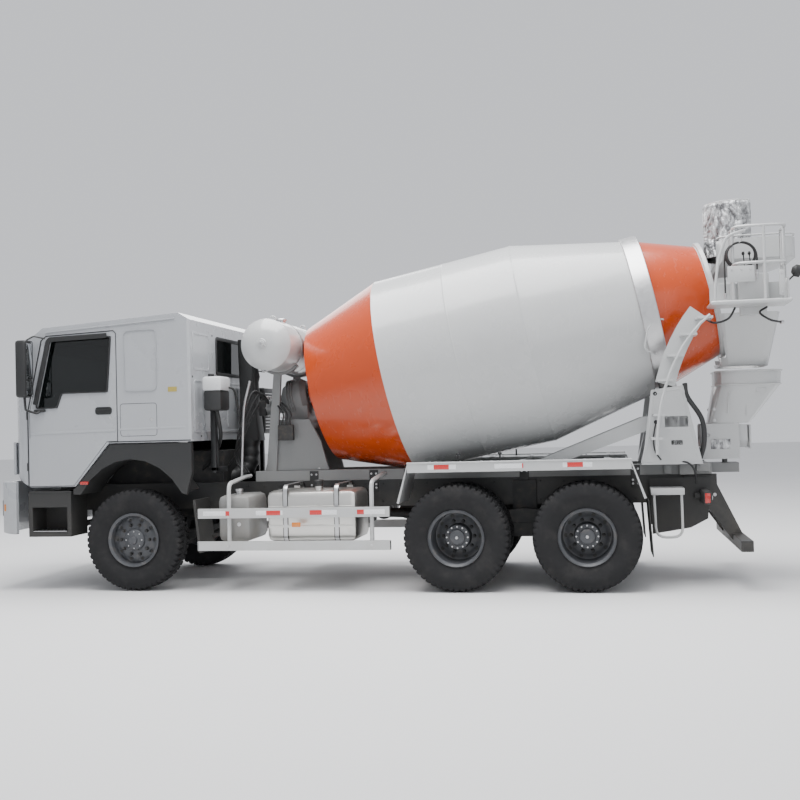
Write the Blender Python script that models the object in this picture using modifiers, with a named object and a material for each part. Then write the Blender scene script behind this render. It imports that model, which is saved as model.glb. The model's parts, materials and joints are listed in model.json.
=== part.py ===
"""Concrete mixer truck, six wheels on three axles, at full size in metres.

+X is forward, +Y is left and +Z is up. The origin is on the ground, under the
middle of the truck. Stations are distances behind the front axle.
"""

import math

import bmesh
import bpy
from mathutils import Matrix, Vector

# Driving dimensions
FRONT_AXLE_X = 2.795
WHEELBASE = 3.625
BOGIE_SPREAD = 1.35
TYRE_RADIUS = 0.5625
TYRE_WIDTH = 0.315
RIM_RADIUS = 0.2985
FRONT_WHEEL_Y = 1.02
TWIN_WHEEL_Y = 0.915
KING_PIN_Y = 0.78
WHEEL_STEPS = 20
CAB_HALF_WIDTH = 1.20
CAB_SIDE_WALL = 0.09
CAB_PANEL = 0.06
BODY_HALF_WIDTH = 1.24
RAIL_OUTER_Y = 0.43
RAIL_INNER_Y = 0.345
RAIL_BOTTOM = 0.85
RAIL_TOP = 1.15
SUBFRAME_TOP = 1.27
DRUM_TILT = math.radians(11.5)
DRUM_FRONT_STATION = 1.97
DRUM_FRONT_Z = 2.16
DRUM_STEPS = 36
RING_RADIUS = 0.90
RING_T = 3.78
ROLLER_RADIUS = 0.14
ROLLER_ANGLE = math.radians(32)
WATER_TANK_RADIUS = 0.285
WATER_TANK_STATION = 1.51
WATER_TANK_Z = 2.70
WATER_TANK_HALF = 1.06
CHUTE_AXIS_STATION = 6.485
STAND_OUTER_Y = 0.715
PLATFORM_FLOOR = 2.92
TOUCH = 0.001  # between pieces that rest on each other

TRUCK = bpy.data.collections.new("concrete_mixer_truck")
WORKSHOP = bpy.data.collections.new("cutters")

DRUM_AXIS = Vector((-math.cos(DRUM_TILT), 0, math.sin(DRUM_TILT)))
DRUM_DOWN = Vector((-math.sin(DRUM_TILT), 0, -math.cos(DRUM_TILT)))
STEER_AXIS = Vector((-0.45, 0, 0.893)).normalized()
STEER_FOOT = Vector((FRONT_AXLE_X + 1.12, 0.60, 1.86))
STEER_CENTRE = STEER_FOOT + STEER_AXIS * 0.30


def at(station, y, z):
    """The point at a distance behind the front axle."""
    return Vector((FRONT_AXLE_X - station, y, z))


def on_drum(t, down=0.0, y=0.0):
    """The point t along the drum's axis from its front edge, and down or aside from it."""
    return at(DRUM_FRONT_STATION, y, DRUM_FRONT_Z) + DRUM_AXIS * t + DRUM_DOWN * down


def clear_scene():
    for obj in list(bpy.data.objects):
        bpy.data.objects.remove(obj, do_unlink=True)
    bpy.context.scene.collection.children.link(TRUCK)
    bpy.context.scene.collection.children.link(WORKSHOP)


# Tools


def paint(name, colour, roughness, metallic=0.0):
    material = bpy.data.materials.new(name)
    material.use_nodes = True
    shader = material.node_tree.nodes["Principled BSDF"]
    shader.inputs["Base Color"].default_value = (*colour, 1.0)
    shader.inputs["Roughness"].default_value = roughness
    shader.inputs["Metallic"].default_value = metallic
    material.diffuse_color = (*colour, 1.0)
    return material


def in_workshop(data, name="piece"):
    obj = bpy.data.objects.new(name, data)
    obj.hide_render = True
    obj.display_type = "WIRE"
    WORKSHOP.objects.link(obj)
    return obj


def mesh_of(fill):
    """A workshop piece whose mesh is made by fill(bm), with its faces turned out."""
    bm = bmesh.new()
    fill(bm)
    bmesh.ops.recalc_face_normals(bm, faces=bm.faces)
    mesh = bpy.data.meshes.new("piece")
    bm.to_mesh(mesh)
    bm.free()
    return in_workshop(mesh)


def realised(obj):
    """The piece with its modifiers, or its curve, made a plain welded mesh in world space."""
    graph = bpy.context.evaluated_depsgraph_get()
    graph.update()
    made = bpy.data.meshes.new_from_object(obj.evaluated_get(graph))
    made.transform(obj.matrix_world)
    bpy.data.objects.remove(obj, do_unlink=True)
    bm = bmesh.new()
    bm.from_mesh(made)
    bmesh.ops.remove_doubles(bm, verts=bm.verts, dist=1e-5)
    bmesh.ops.recalc_face_normals(bm, faces=bm.faces)
    bm.to_mesh(made)
    bm.free()
    return in_workshop(made)


def box(low, high):
    low, high = Vector(low), Vector(high)
    place = Matrix.Translation((low + high) / 2) @ Matrix.Diagonal((*(high - low), 1))
    return mesh_of(lambda bm: bmesh.ops.create_cube(bm, size=1.0, matrix=place))


def block(stations, ys, zs):
    """A box from its two stations, widths and heights."""
    return box((FRONT_AXLE_X - max(stations), min(ys), min(zs)),
               (FRONT_AXLE_X - min(stations), max(ys), max(zs)))


def rounded(piece, width, segments=2):
    bevel = piece.modifiers.new("round", "BEVEL")
    bevel.width = width
    bevel.segments = segments
    bevel.limit_method = "ANGLE"
    return realised(piece)


def rod(start, end, radius, end_radius=None, sides=12):
    start, end = Vector(start), Vector(end)
    along = end - start
    place = Matrix.Translation((start + end) / 2) @ along.to_track_quat("Z", "X").to_matrix().to_4x4()
    return mesh_of(lambda bm: bmesh.ops.create_cone(
        bm, cap_ends=True, segments=sides, radius1=radius,
        radius2=radius if end_radius is None else end_radius,
        depth=along.length, matrix=place))


def curve_of(points, cyclic, flat):
    curve = bpy.data.curves.new("outline", "CURVE")
    curve.dimensions = "2D" if flat else "3D"
    spline = curve.splines.new("POLY")
    spline.points.add(len(points) - 1)
    for slot, point in zip(spline.points, points):
        slot.co = (*point, 0, 1) if flat else (*point, 1)
    spline.use_cyclic_u = cyclic
    return curve


def plate(outline, low, high, normal="Y"):
    """A flat outline, extruded from low to high along its normal.

    Its points are (station, z) with the normal along Y, (y, z) along X, and (station, y) along Z.
    """
    if normal != "X":
        outline = [(FRONT_AXLE_X - station, other) for station, other in outline]
    curve = curve_of(outline, True, True)
    curve.fill_mode = "BOTH"
    curve.extrude = abs(high - low) / 2
    middle = (low + high) / 2
    piece = in_workshop(curve)
    columns = {
        "Y": ((1, 0, 0), (0, 0, 1), (0, -1, 0), (0, middle, 0)),
        "X": ((0, 1, 0), (0, 0, 1), (1, 0, 0), (FRONT_AXLE_X - middle, 0, 0)),
        "Z": ((1, 0, 0), (0, 1, 0), (0, 0, 1), (0, 0, middle)),
    }[normal]
    turn = Matrix(columns[:3]).transposed().to_4x4()
    piece.matrix_world = Matrix.Translation(columns[3]) @ turn
    return realised(piece)


def tube(points, radius, cyclic=False, sides=2):
    curve = curve_of([tuple(p) for p in points], cyclic, False)
    curve.bevel_depth = radius
    curve.bevel_resolution = sides
    curve.use_fill_caps = not cyclic
    return realised(in_workshop(curve))


def turned(profile, start, axis, steps=WHEEL_STEPS, turn=0.0):
    """A profile of (radius, height along the axis), from its top down, turned about the axis."""
    mesh = bpy.data.meshes.new("profile")
    closed = profile[0][0] > 0
    edges = [(i, i + 1) for i in range(len(profile) - 1)]
    if closed:
        edges.append((len(profile) - 1, 0))
    mesh.from_pydata([(radius, 0, height) for radius, height in profile], edges, [])
    piece = in_workshop(mesh)
    screw = piece.modifiers.new("turn", "SCREW")
    screw.steps = steps
    screw.render_steps = steps
    screw.use_merge_vertices = True
    screw.merge_threshold = 1e-5
    frame = Vector(axis).to_track_quat("Z", "X").to_matrix().to_4x4()
    piece.matrix_world = Matrix.Translation(start) @ frame @ Matrix.Rotation(turn, 4, "Z")
    return realised(piece)


def loft(sections):
    """A solid through rings of points, each ring with the same number of them."""

    def fill(bm):
        rings = [[bm.verts.new(point) for point in ring] for ring in sections]
        for first, second in zip(rings, rings[1:]):
            for i in range(len(first)):
                j = (i + 1) % len(first)
                bm.faces.new((first[i], first[j], second[j], second[i]))
        bm.faces.new(rings[0])
        bm.faces.new(rings[-1])

    return mesh_of(fill)


def combine(piece, others, operation):
    for other in others:
        modifier = piece.modifiers.new("join", "BOOLEAN")
        modifier.operation = operation
        modifier.object = other
    result = realised(piece)
    for other in others:
        bpy.data.objects.remove(other, do_unlink=True)
    return result


def fused(first, *others):
    return combine(first, others, "UNION")


def without(piece, *cutters):
    return combine(piece, cutters, "DIFFERENCE")


def common(piece, *others):
    return combine(piece, others, "INTERSECT")


def copied(piece, matrix=Matrix.Identity(4)):
    mesh = piece.data.copy()
    mesh.transform(matrix)
    if matrix.determinant() < 0:
        mesh.flip_normals()
    return in_workshop(mesh)


def other_side(piece):
    return copied(piece, Matrix.Diagonal((1, -1, 1, 1)))


def both_sides(piece):
    return [piece, other_side(piece)]


def node(name, piece, material, pivot=(0, 0, 0)):
    """The finished sub-part, with its origin on its joint's axis."""
    pivot = Vector(pivot)
    piece.data.transform(Matrix.Translation(-pivot))
    piece.location = pivot
    piece.name = name
    piece.data.name = name
    piece.data.materials.clear()
    piece.data.materials.append(material)
    piece.data.shade_smooth()
    piece.data.set_sharp_from_angle(angle=math.radians(30))
    piece.hide_render = False
    piece.display_type = "TEXTURED"
    WORKSHOP.objects.unlink(piece)
    TRUCK.objects.link(piece)
    return piece


def inset(outline, distance):
    """The outline with each edge moved inwards, whichever way round it runs."""
    count = len(outline)
    area = sum(outline[i - 1][0] * outline[i][1] - outline[i][0] * outline[i - 1][1] for i in range(count))
    side = distance if area > 0 else -distance
    moved = []
    for i in range(count):
        a = Vector(outline[i]) - Vector(outline[i - 1])
        b = Vector(outline[(i + 1) % count]) - Vector(outline[i])
        a.normalize()
        b.normalize()
        bisector = Vector((-a.y - b.y, a.x + b.x))
        moved.append(tuple(Vector(outline[i]) + bisector * side / (1 + a.dot(b))))
    return moved


def band(line, thickness):
    """The outline of a bent strip: the line's points, and those points moved to one side."""
    moved = []
    for i, point in enumerate(line):
        before = Vector(line[max(i - 1, 0)])
        after = Vector(line[min(i + 1, len(line) - 1)])
        along = (after - before).normalized()
        moved.append((point[0] - along.y * thickness, point[1] + along.x * thickness))
    return [*line, *reversed(moved)]


def arc(centre, radii, start, end, count):
    """Points on an ellipse between two angles in degrees."""
    angles = [math.radians(start + (end - start) * i / (count - 1)) for i in range(count)]
    return [(centre[0] + radii[0] * math.cos(a), centre[1] + radii[1] * math.sin(a)) for a in angles]


def eased(corners, radius, steps=3):
    """A path through corners, each of them rounded with a short arc."""
    path = [Vector(corners[0])]
    for before, corner, after in zip(corners, corners[1:], corners[2:]):
        corner = Vector(corner)
        start = corner + (Vector(before) - corner).normalized() * radius
        end = corner + (Vector(after) - corner).normalized() * radius
        for i in range(steps + 1):
            f = i / steps
            path.append(start.lerp(corner, f).lerp(corner.lerp(end, f), f))
    path.append(Vector(corners[-1]))
    return path


# Materials

WHITE = paint("white_paint", (0.80, 0.81, 0.82), 0.35)
ORANGE = paint("orange_paint", (0.75, 0.13, 0.02), 0.35)
GREY = paint("grey_paint", (0.42, 0.43, 0.43), 0.5)
BLACK = paint("black_paint", (0.02, 0.02, 0.022), 0.5)
PLASTIC = paint("black_plastic", (0.03, 0.03, 0.032), 0.6)
IRON = paint("cast_iron", (0.12, 0.12, 0.12), 0.6, 0.6)
ALUMINIUM = paint("aluminium", (0.75, 0.75, 0.74), 0.3, 1.0)
RUBBER = paint("tyre_rubber", (0.015, 0.015, 0.016), 0.8)
WHEEL_GREY = paint("wheel_paint", (0.10, 0.105, 0.115), 0.5)
GLASS = paint("glass", (0.05, 0.06, 0.06), 0.05)
CLOTH = paint("seat_cloth", (0.08, 0.08, 0.09), 0.9)


# Chassis


def make_chassis_frame():
    rails = []
    for side in (1, -1):
        rail = block((-1.25, 6.35), (side * RAIL_INNER_Y, side * RAIL_OUTER_Y), (RAIL_BOTTOM, RAIL_TOP))
        web = side * (RAIL_OUTER_Y - 0.012)
        hollow = block((-1.35, 6.45), (side * 0.30, web), (RAIL_BOTTOM + 0.012, RAIL_TOP - 0.012))
        rails.append(without(rail, hollow))
    inside = RAIL_OUTER_Y - 0.006
    members = [block((s - 0.04, s + 0.04), (-inside, inside), (0.88, 1.10)) for s in (2.3, 3.1, 5.5, 6.28)]
    members.append(block((4.17, 4.43), (-inside, inside), (0.88, 1.12)))
    members.append(block((-1.24, -1.16), (-inside, inside), (0.86, 1.0)))
    hangers = [
        block((s - 0.05, s + 0.05), (side * 0.36, side * 0.43), (0.712, 0.86))
        for s in (-0.80, 0.80) for side in (1, -1)
    ]
    node("chassis_frame", fused(*rails, *members, *hangers), BLACK)


def make_subframe():
    bottom = RAIL_TOP + TOUCH
    pieces = [
        block((1.20, 6.30), (side * RAIL_INNER_Y, side * RAIL_OUTER_Y), (bottom, SUBFRAME_TOP))
        for side in (1, -1)
    ]
    pieces += [block((s - 0.05, s + 0.05), (-0.36, 0.36), (bottom, 1.205)) for s in (1.25, 2.2, 4.3)]
    pieces.append(block((6.20, 6.30), (-0.36, 0.36), (bottom, SUBFRAME_TOP - 0.01)))
    pieces.append(block((6.25, 6.62), (-0.14, 0.14), (bottom, 1.255)))
    pieces.append(rod(at(CHUTE_AXIS_STATION, 0, 1.25), at(CHUTE_AXIS_STATION, 0, 1.32), 0.030))
    node("subframe", fused(*pieces), GREY)


def make_engine():
    pieces = [
        block((-0.85, 0.76), (-0.30, 0.30), (0.74, 1.52)),
        block((0.75, 1.50), (-0.24, 0.24), (0.74, 1.10)),
        block((-1.10, -0.84), (-0.32, 0.32), (1.02, 1.50)),
    ]
    node("engine", fused(*pieces), IRON)


def make_front_axle():
    half = [(0.60, 0.35), (0.715, 0.5045), (0.75, 0.5045), (0.75, 0.615), (0.70, 0.615), (0.58, 0.43)]
    outline = half + [(-y, z) for y, z in reversed(half)]
    beam = plate(outline, -0.055, 0.055, "X")
    pieces = [beam]
    for side in (1, -1):
        top = [(x, 0.53 + 0.20 * (x / 0.8) ** 2) for x in (-0.84, -0.5, -0.25, 0, 0.25, 0.5, 0.84)]
        bottom = [(0.84, 0.665), (0.5, 0.53), (0.25, 0.44), (-0.25, 0.44), (-0.5, 0.53), (-0.84, 0.665)]
        top = [(x, min(z, 0.705)) for x, z in top]
        pieces.append(plate(top + bottom, side * 0.365, side * 0.445))
        pieces.append(block((-0.06, 0.06), (side * 0.36, side * 0.45), (0.40, 0.46)))
        pin = (FRONT_AXLE_X, side * KING_PIN_Y)
        pieces.append(rod((*pin, 0.5025), (*pin, 0.6225), 0.048))
    axle = fused(*pieces)
    bores = [rod((FRONT_AXLE_X, s * KING_PIN_Y, 0.3), (FRONT_AXLE_X, s * KING_PIN_Y, 0.8), 0.026) for s in (1, -1)]
    node("front_axle", without(axle, *bores), IRON)


def make_knuckles():
    pin = rod(at(0, KING_PIN_Y, 0.41), at(0, KING_PIN_Y, 0.715), 0.020)
    arms = [block((-0.05, 0.05), (0.73, 0.868), span) for span in ((0.634, 0.70), (0.425, 0.491))]
    web = block((-0.05, 0.05), (0.835, 0.868), (0.43, 0.69))
    backplate = rod(at(0, 0.860, TYRE_RADIUS), at(0, 0.880, TYRE_RADIUS), 0.18, sides=WHEEL_STEPS)
    spindle = rod(at(0, 0.87, TYRE_RADIUS), at(0, 1.10, TYRE_RADIUS), 0.042, 0.038)
    arm = block((-0.30, -0.04), (0.74, 0.79), (0.44, 0.48))
    left = fused(pin, *arms, web, backplate, spindle, arm)
    for name, piece, side in zip(("knuckle_left", "knuckle_right"), both_sides(left), (1, -1)):
        node(name, piece, IRON, at(0, side * KING_PIN_Y, TYRE_RADIUS))


def facet_turn():
    """The turn about a wheel's axle that puts a flat facet of its tread on the ground."""
    return math.pi / WHEEL_STEPS


def make_front_wheels():
    tread = TYRE_RADIUS / math.cos(math.pi / WHEEL_STEPS)
    half = TYRE_WIDTH / 2
    side = [(0.2865, 0.112), (0.315, 0.118), (0.43, half), (0.52, 0.150), (tread, 0.115)]
    tyre = [*reversed(side), *[(r, -w) for r, w in side]]
    rim = [
        (0, 0.155), (0.05, 0.15), (0.075, 0.12), (0.11, 0.11), (0.12, 0.07), (0.20, 0.06), (0.25, 0.03),
        (0.262, 0.12), (RIM_RADIUS, 0.136), (RIM_RADIUS, 0.1215), (0.2845, 0.116), (0.2845, -0.116),
        (RIM_RADIUS, -0.1215), (RIM_RADIUS, -0.136), (0.262, -0.12), (0.255, 0.0), (0.205, 0.0),
        (0.205, -0.13), (0.05, -0.13), (0.05, 0.10), (0, 0.10),
    ]
    for name, sign in (("left", 1), ("right", -1)):
        centre = at(0, sign * FRONT_WHEEL_Y, TYRE_RADIUS)
        turn = facet_turn() + math.pi / 2
        node("tyre_front_" + name, turned(tyre, centre, (0, sign, 0), turn=turn), RUBBER, centre)
        node("rim_front_" + name, turned(rim, centre, (0, sign, 0), turn=turn), WHEEL_GREY, centre)


def make_twin_wheels():
    tread = TYRE_RADIUS / math.cos(math.pi / WHEEL_STEPS)
    outer = [(RIM_RADIUS, 0.306), (0.315, 0.292), (0.43, 0.3325), (0.53, 0.322), (tread, 0.288)]
    gap = [(tread, 0.062), (0.53, 0.028), (0.43, 0.0175), (0.33, 0.045)]
    profile = [
        (0, 0.235), (0.085, 0.225), (0.10, 0.19), (0.135, 0.18), (0.135, 0.04), (0.252, 0.015), (0.262, 0.285),
        *outer, *gap, *[(r, -w) for r, w in reversed(gap)], *[(r, -w) for r, w in reversed(outer)],
        (0.262, -0.285), (0.255, -0.03), (0.215, -0.03), (0.215, -0.27), (0.076, -0.27), (0.076, 0.19), (0, 0.19),
    ]
    for place, station in (("front", WHEELBASE), ("rear", WHEELBASE + BOGIE_SPREAD)):
        for name, sign in (("left", 1), ("right", -1)):
            centre = at(station, sign * TWIN_WHEEL_Y, TYRE_RADIUS)
            wheel = turned(profile, centre, (0, sign, 0), turn=facet_turn() + math.pi / 2)
            node(f"twin_wheel_{place}_{name}", wheel, RUBBER, centre)


def make_drive_axles():
    for place, station in (("front", WHEELBASE), ("rear", WHEELBASE + BOGIE_SPREAD)):
        centre = at(station, 0, TYRE_RADIUS)
        half = [(0.085, 0.595), (0.085, 0.26), (0.17, 0.16), (0.215, 0.08)]
        profile = [(0, 1.09), (0.060, 1.09), (0.066, 0.637), (0.19, 0.634), (0.19, 0.612), *half]
        profile += [(r, -w) for r, w in reversed(profile)]
        housing = turned(profile, centre, (0, 1, 0))
        nose_ends = centre + Vector((0.10, 0, 0.02)), centre + Vector((0.42, 0, 0.05))
        nose = rod(*nose_ends, 0.16, 0.09, sides=WHEEL_STEPS)
        pads = [block((station - 0.07, station + 0.07), (s * 0.48, s * 0.56), (0.60, 0.648)) for s in (1, -1)]
        node(f"drive_axle_{place}", fused(housing, nose, *pads), IRON)


def make_bogie_suspension():
    middle = WHEELBASE + BOGIE_SPREAD / 2
    reach = BOGIE_SPREAD / 2 + 0.08
    pieces = [rod(at(middle, -0.55, 0.60), at(middle, 0.55, 0.60), 0.06)]
    for side in (1, -1):
        pieces.append(block((middle - 0.13, middle + 0.13), (side * 0.431, side * 0.465), (0.50, 1.12)))
        top = [(middle + x, 0.70 + 0.12 * (1 - (x / reach) ** 2)) for x in (-reach, -0.45, 0, 0.45, reach)]
        low = [(middle + reach, 0.672), (middle + 0.16, 0.63), (middle - 0.16, 0.63), (middle - reach, 0.672)]
        pieces.append(plate(top + low, side * 0.485, side * 0.563))
        pieces.append(block((middle - 0.12, middle + 0.12), (side * 0.478, side * 0.568), (0.52, 0.66)))
    node("bogie_suspension", fused(*pieces), IRON)


# Cab

CAB_SIDE = [
    (-1.20, 1.17), (-1.42, 1.29), (-1.42, 1.68), (-1.505, 1.72), (-1.395, 2.36), (-1.25, 2.80),
    (-1.02, 2.965), (0.60, 3.07), (0.73, 2.99), (0.725, 1.645), (-0.25, 1.645), (-0.66, 1.17),
]
DOOR = [
    (-1.22, 1.18), (-1.22, 2.02), (-1.04, 2.82), (-0.98, 2.87), (-0.17, 2.90), (-0.14, 2.87),
    (-0.14, 1.665), (-0.27, 1.665), (-0.66, 1.20), (-0.67, 1.18),
]
DOOR_WINDOW = [
    (-1.12, 2.06), (-0.94, 2.82), (-0.20, 2.84), (-0.25, 2.22), (-0.80, 2.22), (-0.86, 2.06),
]
DOOR_HINGE = (-1.226, CAB_HALF_WIDTH)


def cab_plan(forward=0.0):
    """The cab's outline from above, with its bowed front moved forward by a distance."""
    half = [(0.74, 1.17), (0.70, CAB_HALF_WIDTH), (-1.20, CAB_HALF_WIDTH)]
    bow = arc((-1.20, 0.96), (0.25 + forward, 0.24), 90, 150, 4)
    half += [(s, y) for s, y in bow[1:]]
    half += [(-1.44 - forward, 0.90), (-1.52 - forward, 0.45)]
    return half + [(s, -y) for s, y in reversed(half)]


def cab_block():
    solid = plate(CAB_SIDE, -CAB_HALF_WIDTH, CAB_HALF_WIDTH)
    return common(solid, plate(cab_plan(), 1.0, 3.2, "Z"))


def windscreen_prism(shrink):
    corners = [(1.02 - shrink, 1.80 + shrink), (0.98 - shrink, 2.72 - shrink)]
    outline = corners + [(-y, z) for y, z in reversed(corners)]
    return plate(outline, -1.8, -0.9, "X")


def make_cab():
    cavity = plate(inset(CAB_SIDE, CAB_PANEL), -CAB_HALF_WIDTH + CAB_SIDE_WALL, CAB_HALF_WIDTH - CAB_SIDE_WALL)
    cavity = common(cavity, plate(inset(cab_plan(), CAB_PANEL), 1.0, 3.2, "Z"))
    cavity = without(cavity, block((-1.6, -0.1), (-0.46, 0.46), (1.0, 1.64)))
    openings = [
        cavity,
        block((-1.6, -0.12), (-0.40, 0.40), (1.0, 1.58)),
        windscreen_prism(0.0),
        plate(inset(DOOR, -0.006), 1.05, 1.30),
        plate(inset(DOOR, -0.006), -1.30, -1.05),
        block((0.60, 0.80), (-0.95, 0.38), (2.42, 2.84)),
    ]
    node("cab_shell", without(cab_block(), *openings), WHITE)
    behind = copied(cab_block(), Matrix.Translation((-0.012, 0, 0)))
    pane = without(common(cab_block(), windscreen_prism(0.004)), behind)
    node("windscreen", pane, GLASS)


def make_doors():
    inner, outer = CAB_HALF_WIDTH - CAB_SIDE_WALL, CAB_HALF_WIDTH - 0.002
    leaf = without(plate(DOOR, inner, outer), plate(DOOR_WINDOW, 1.0, 1.3))
    pane = plate(inset(DOOR_WINDOW, 0.002), 1.150, 1.156)
    housing = rounded(block((-1.235, -1.10), (1.285, 1.44), (2.18, 2.82)), 0.03)
    stay = [at(-1.06, 1.216, 2.03), at(-1.08, 1.25, 2.0), at(-1.16, 1.35, 2.04), at(-1.17, 1.36, 2.25)]
    brace = [at(-0.99, 1.212, 2.845), at(-1.08, 1.30, 2.87), at(-1.17, 1.36, 2.80)]
    arms = [
        tube(eased(stay, 0.02), 0.014, sides=1),
        rod(at(-1.13, 1.216, 2.03), at(-1.00, 1.216, 2.03), 0.016, sides=8),
        tube(eased(brace, 0.02), 0.010, sides=1),
    ]
    mirror = fused(housing, *arms)
    pieces = (("door", leaf, WHITE), ("door_glass", pane, GLASS), ("mirror", mirror, PLASTIC))
    for name, piece, material in pieces:
        for side, sign, copy in zip(("left", "right"), (1, -1), both_sides(piece)):
            node(f"{name}_{side}", copy, material, at(DOOR_HINGE[0], sign * DOOR_HINGE[1], 2.0))


def make_front_panel():
    strip = plate([(-1.42, 1.31), (-1.42, 1.685), (-1.60, 1.685), (-1.60, 1.31)], -1.08, 1.08)
    front = plate(cab_plan(0.07), 1.0, 3.2, "Z")
    back = plate(cab_plan(0.03), 1.0, 3.2, "Z")
    lid = without(common(strip, front), back)
    node("front_panel", lid, WHITE, at(-1.545, 0, 1.69))


def make_wheel_arches():
    line = [(-0.69, 1.08), (-0.69, 1.148), (-0.668, 1.150), (-0.238, 1.635), (0.72, 1.635)]
    line += [(0.72, 1.30), (0.655, 1.06)]
    opening = arc((0.0, TYRE_RADIUS), (-0.73, 0.90), 145, 35, 9)
    cheek = plate(line + opening, 1.12, 1.19)
    ceiling = arc((0.0, TYRE_RADIUS), (-0.73, 0.90), 35, 145, 9)
    liner = plate(band(ceiling, 0.03), 0.70, 1.13)
    arch = fused(cheek, liner)
    for name, piece in zip(("wheel_arch_left", "wheel_arch_right"), both_sides(arch)):
        node(name, piece, PLASTIC)


def make_dashboard():
    body = rounded(block((-1.33, -1.06), (-0.98, 0.98), (1.78, 2.04)), 0.04, 1)
    column = rod(STEER_FOOT, STEER_FOOT + STEER_AXIS * 0.24, 0.035)
    node("dashboard", fused(body, column), PLASTIC)


def make_steering_wheel():
    ring = [(0.225 + 0.017 * math.cos(a), 0.017 * math.sin(a)) for a in [-math.tau * i / 6 for i in range(6)]]
    pieces = [turned(ring, STEER_CENTRE, STEER_AXIS)]
    pieces.append(rod(STEER_CENTRE - STEER_AXIS * 0.045, STEER_CENTRE + STEER_AXIS * 0.01, 0.06))
    across = STEER_AXIS.cross(Vector((0, 1, 0)))
    pieces.append(rod(STEER_CENTRE - Vector((0, 0.225, 0)), STEER_CENTRE + Vector((0, 0.225, 0)), 0.014, sides=8))
    pieces.append(rod(STEER_CENTRE, STEER_CENTRE - across * 0.225 * (1 if across.z > 0 else -1), 0.014, sides=8))
    node("steering_wheel", fused(*pieces), PLASTIC, STEER_CENTRE)


def make_seats():
    cushion = rounded(block((-0.72, -0.20), (0.35, 0.87), (1.76, 1.90)), 0.04)
    back = rounded(plate([(-0.30, 1.80), (-0.16, 1.80), (-0.02, 2.50), (-0.11, 2.52)], 0.37, 0.85), 0.03)
    head = rounded(plate([(-0.10, 2.46), (-0.03, 2.46), (0.01, 2.70), (-0.07, 2.71)], 0.48, 0.74), 0.02, 1)
    base = block((-0.42, -0.20), (0.45, 0.77), (1.715, 1.80))
    seat = fused(cushion, back, head, base)
    for name, piece in zip(("seat_left", "seat_right"), both_sides(seat)):
        node(name, piece, CLOTH)


# Fittings low down


def bumper_plan(grow):
    half = [(-1.36, BODY_HALF_WIDTH + 0.005 + grow), (-1.46 - grow, 1.235 + grow), (-1.58 - grow, 1.14),
            (-1.635 - grow, 0.90), (-1.66 - grow, 0.40)]
    return half + [(s, -y) for s, y in reversed(half)]


def make_front_bumper():
    profile = [(-1.30, 0.64), (-1.63, 0.66), (-1.66, 0.92), (-1.66, 1.10), (-1.63, 1.235), (-1.30, 1.235)]
    outer = common(plate(profile, -1.3, 1.3), plate(bumper_plan(0.0), 0.5, 1.4, "Z"))
    hollow = plate([(s + 0.09 if s < -1.4 else -1.2, y * 0.955) for s, y in bumper_plan(0.0)], 0.4, 1.5, "Z")
    arms = [block((-1.60, -1.27), (s * 0.35, s * 0.41), (0.90, 1.00)) for s in (1, -1)]
    node("front_bumper", fused(without(outer, hollow), *arms), WHITE)


def make_cab_steps():
    pieces = []
    for side in (1, -1):
        shell = block((-1.24, -0.72), (side * 0.80, side * 1.19), (0.61, 1.12))
        well = block((-1.19, -0.77), (side * 0.88, side * 1.30), (0.66, 0.94))
        pieces.append(without(shell, well))
    pieces.append(block((-1.12, -1.02), (-0.85, 0.85), (0.64, 0.70)))
    node("cab_steps", fused(*pieces), PLASTIC)


def make_front_mudguards():
    pieces = []
    for side in (1, -1):
        sheet = plate([(0.72, 1.00), (0.75, 1.00), (0.81, 0.42), (0.78, 0.42)], side * 0.74, side * 1.18)
        pieces.append(sheet)
    pieces.append(rod(at(0.785, -0.80, 0.56), at(0.785, 0.80, 0.56), 0.022, sides=10))
    node("front_mudguards", fused(*pieces), PLASTIC)


def make_tanks():
    outline = [(0.475, 0.53), (1.13, 0.53), (1.13, 1.08), (0.475, 1.08)]
    body = rounded(plate(outline, 1.54, 2.55, "X"), 0.07)
    arms = [block((s, s + 0.07), (0.431, 0.50), (0.62, 1.10)) for s in (1.68, 2.30)]
    cap = rod(at(2.10, 0.98, 1.06), at(2.10, 0.98, 1.14), 0.045)
    node("fuel_tank", fused(body, *arms, cap), ALUMINIUM)
    small = rounded(block((0.98, 1.36), (0.475, 1.13), (0.53, 1.04)), 0.07)
    bracket = block((1.12, 1.22), (0.431, 0.52), (0.60, 1.0))
    node("hydraulic_tank", fused(small, bracket), GREY)
    case = rounded(block((1.50, 2.30), (-1.12, -0.475), (0.55, 1.04)), 0.02, 1)
    arm = block((1.80, 2.00), (-0.50, -0.431), (0.60, 1.0))
    node("battery_box", fused(case, arm), PLASTIC)


def make_side_guards():
    y = BODY_HALF_WIDTH - 0.04
    pieces = [
        block((0.80, 2.93), (y, BODY_HALF_WIDTH), (0.80, 0.905)),
        block((0.79, 2.93), (y, BODY_HALF_WIDTH), (0.45, 0.55)),
    ]
    for station in (1.14, 2.73):
        path = [at(station, y, 0.47), at(station, y - 0.015, 1.17)]
        path += [at(station, 0.60, 1.22), at(station, 0.4325, 1.22)]
        pieces.append(tube(eased(path, 0.08), 0.024, sides=1))
    guard = fused(*pieces)
    for name, piece in zip(("side_guard_left", "side_guard_right"), both_sides(guard)):
        node(name, piece, WHITE)


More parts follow.
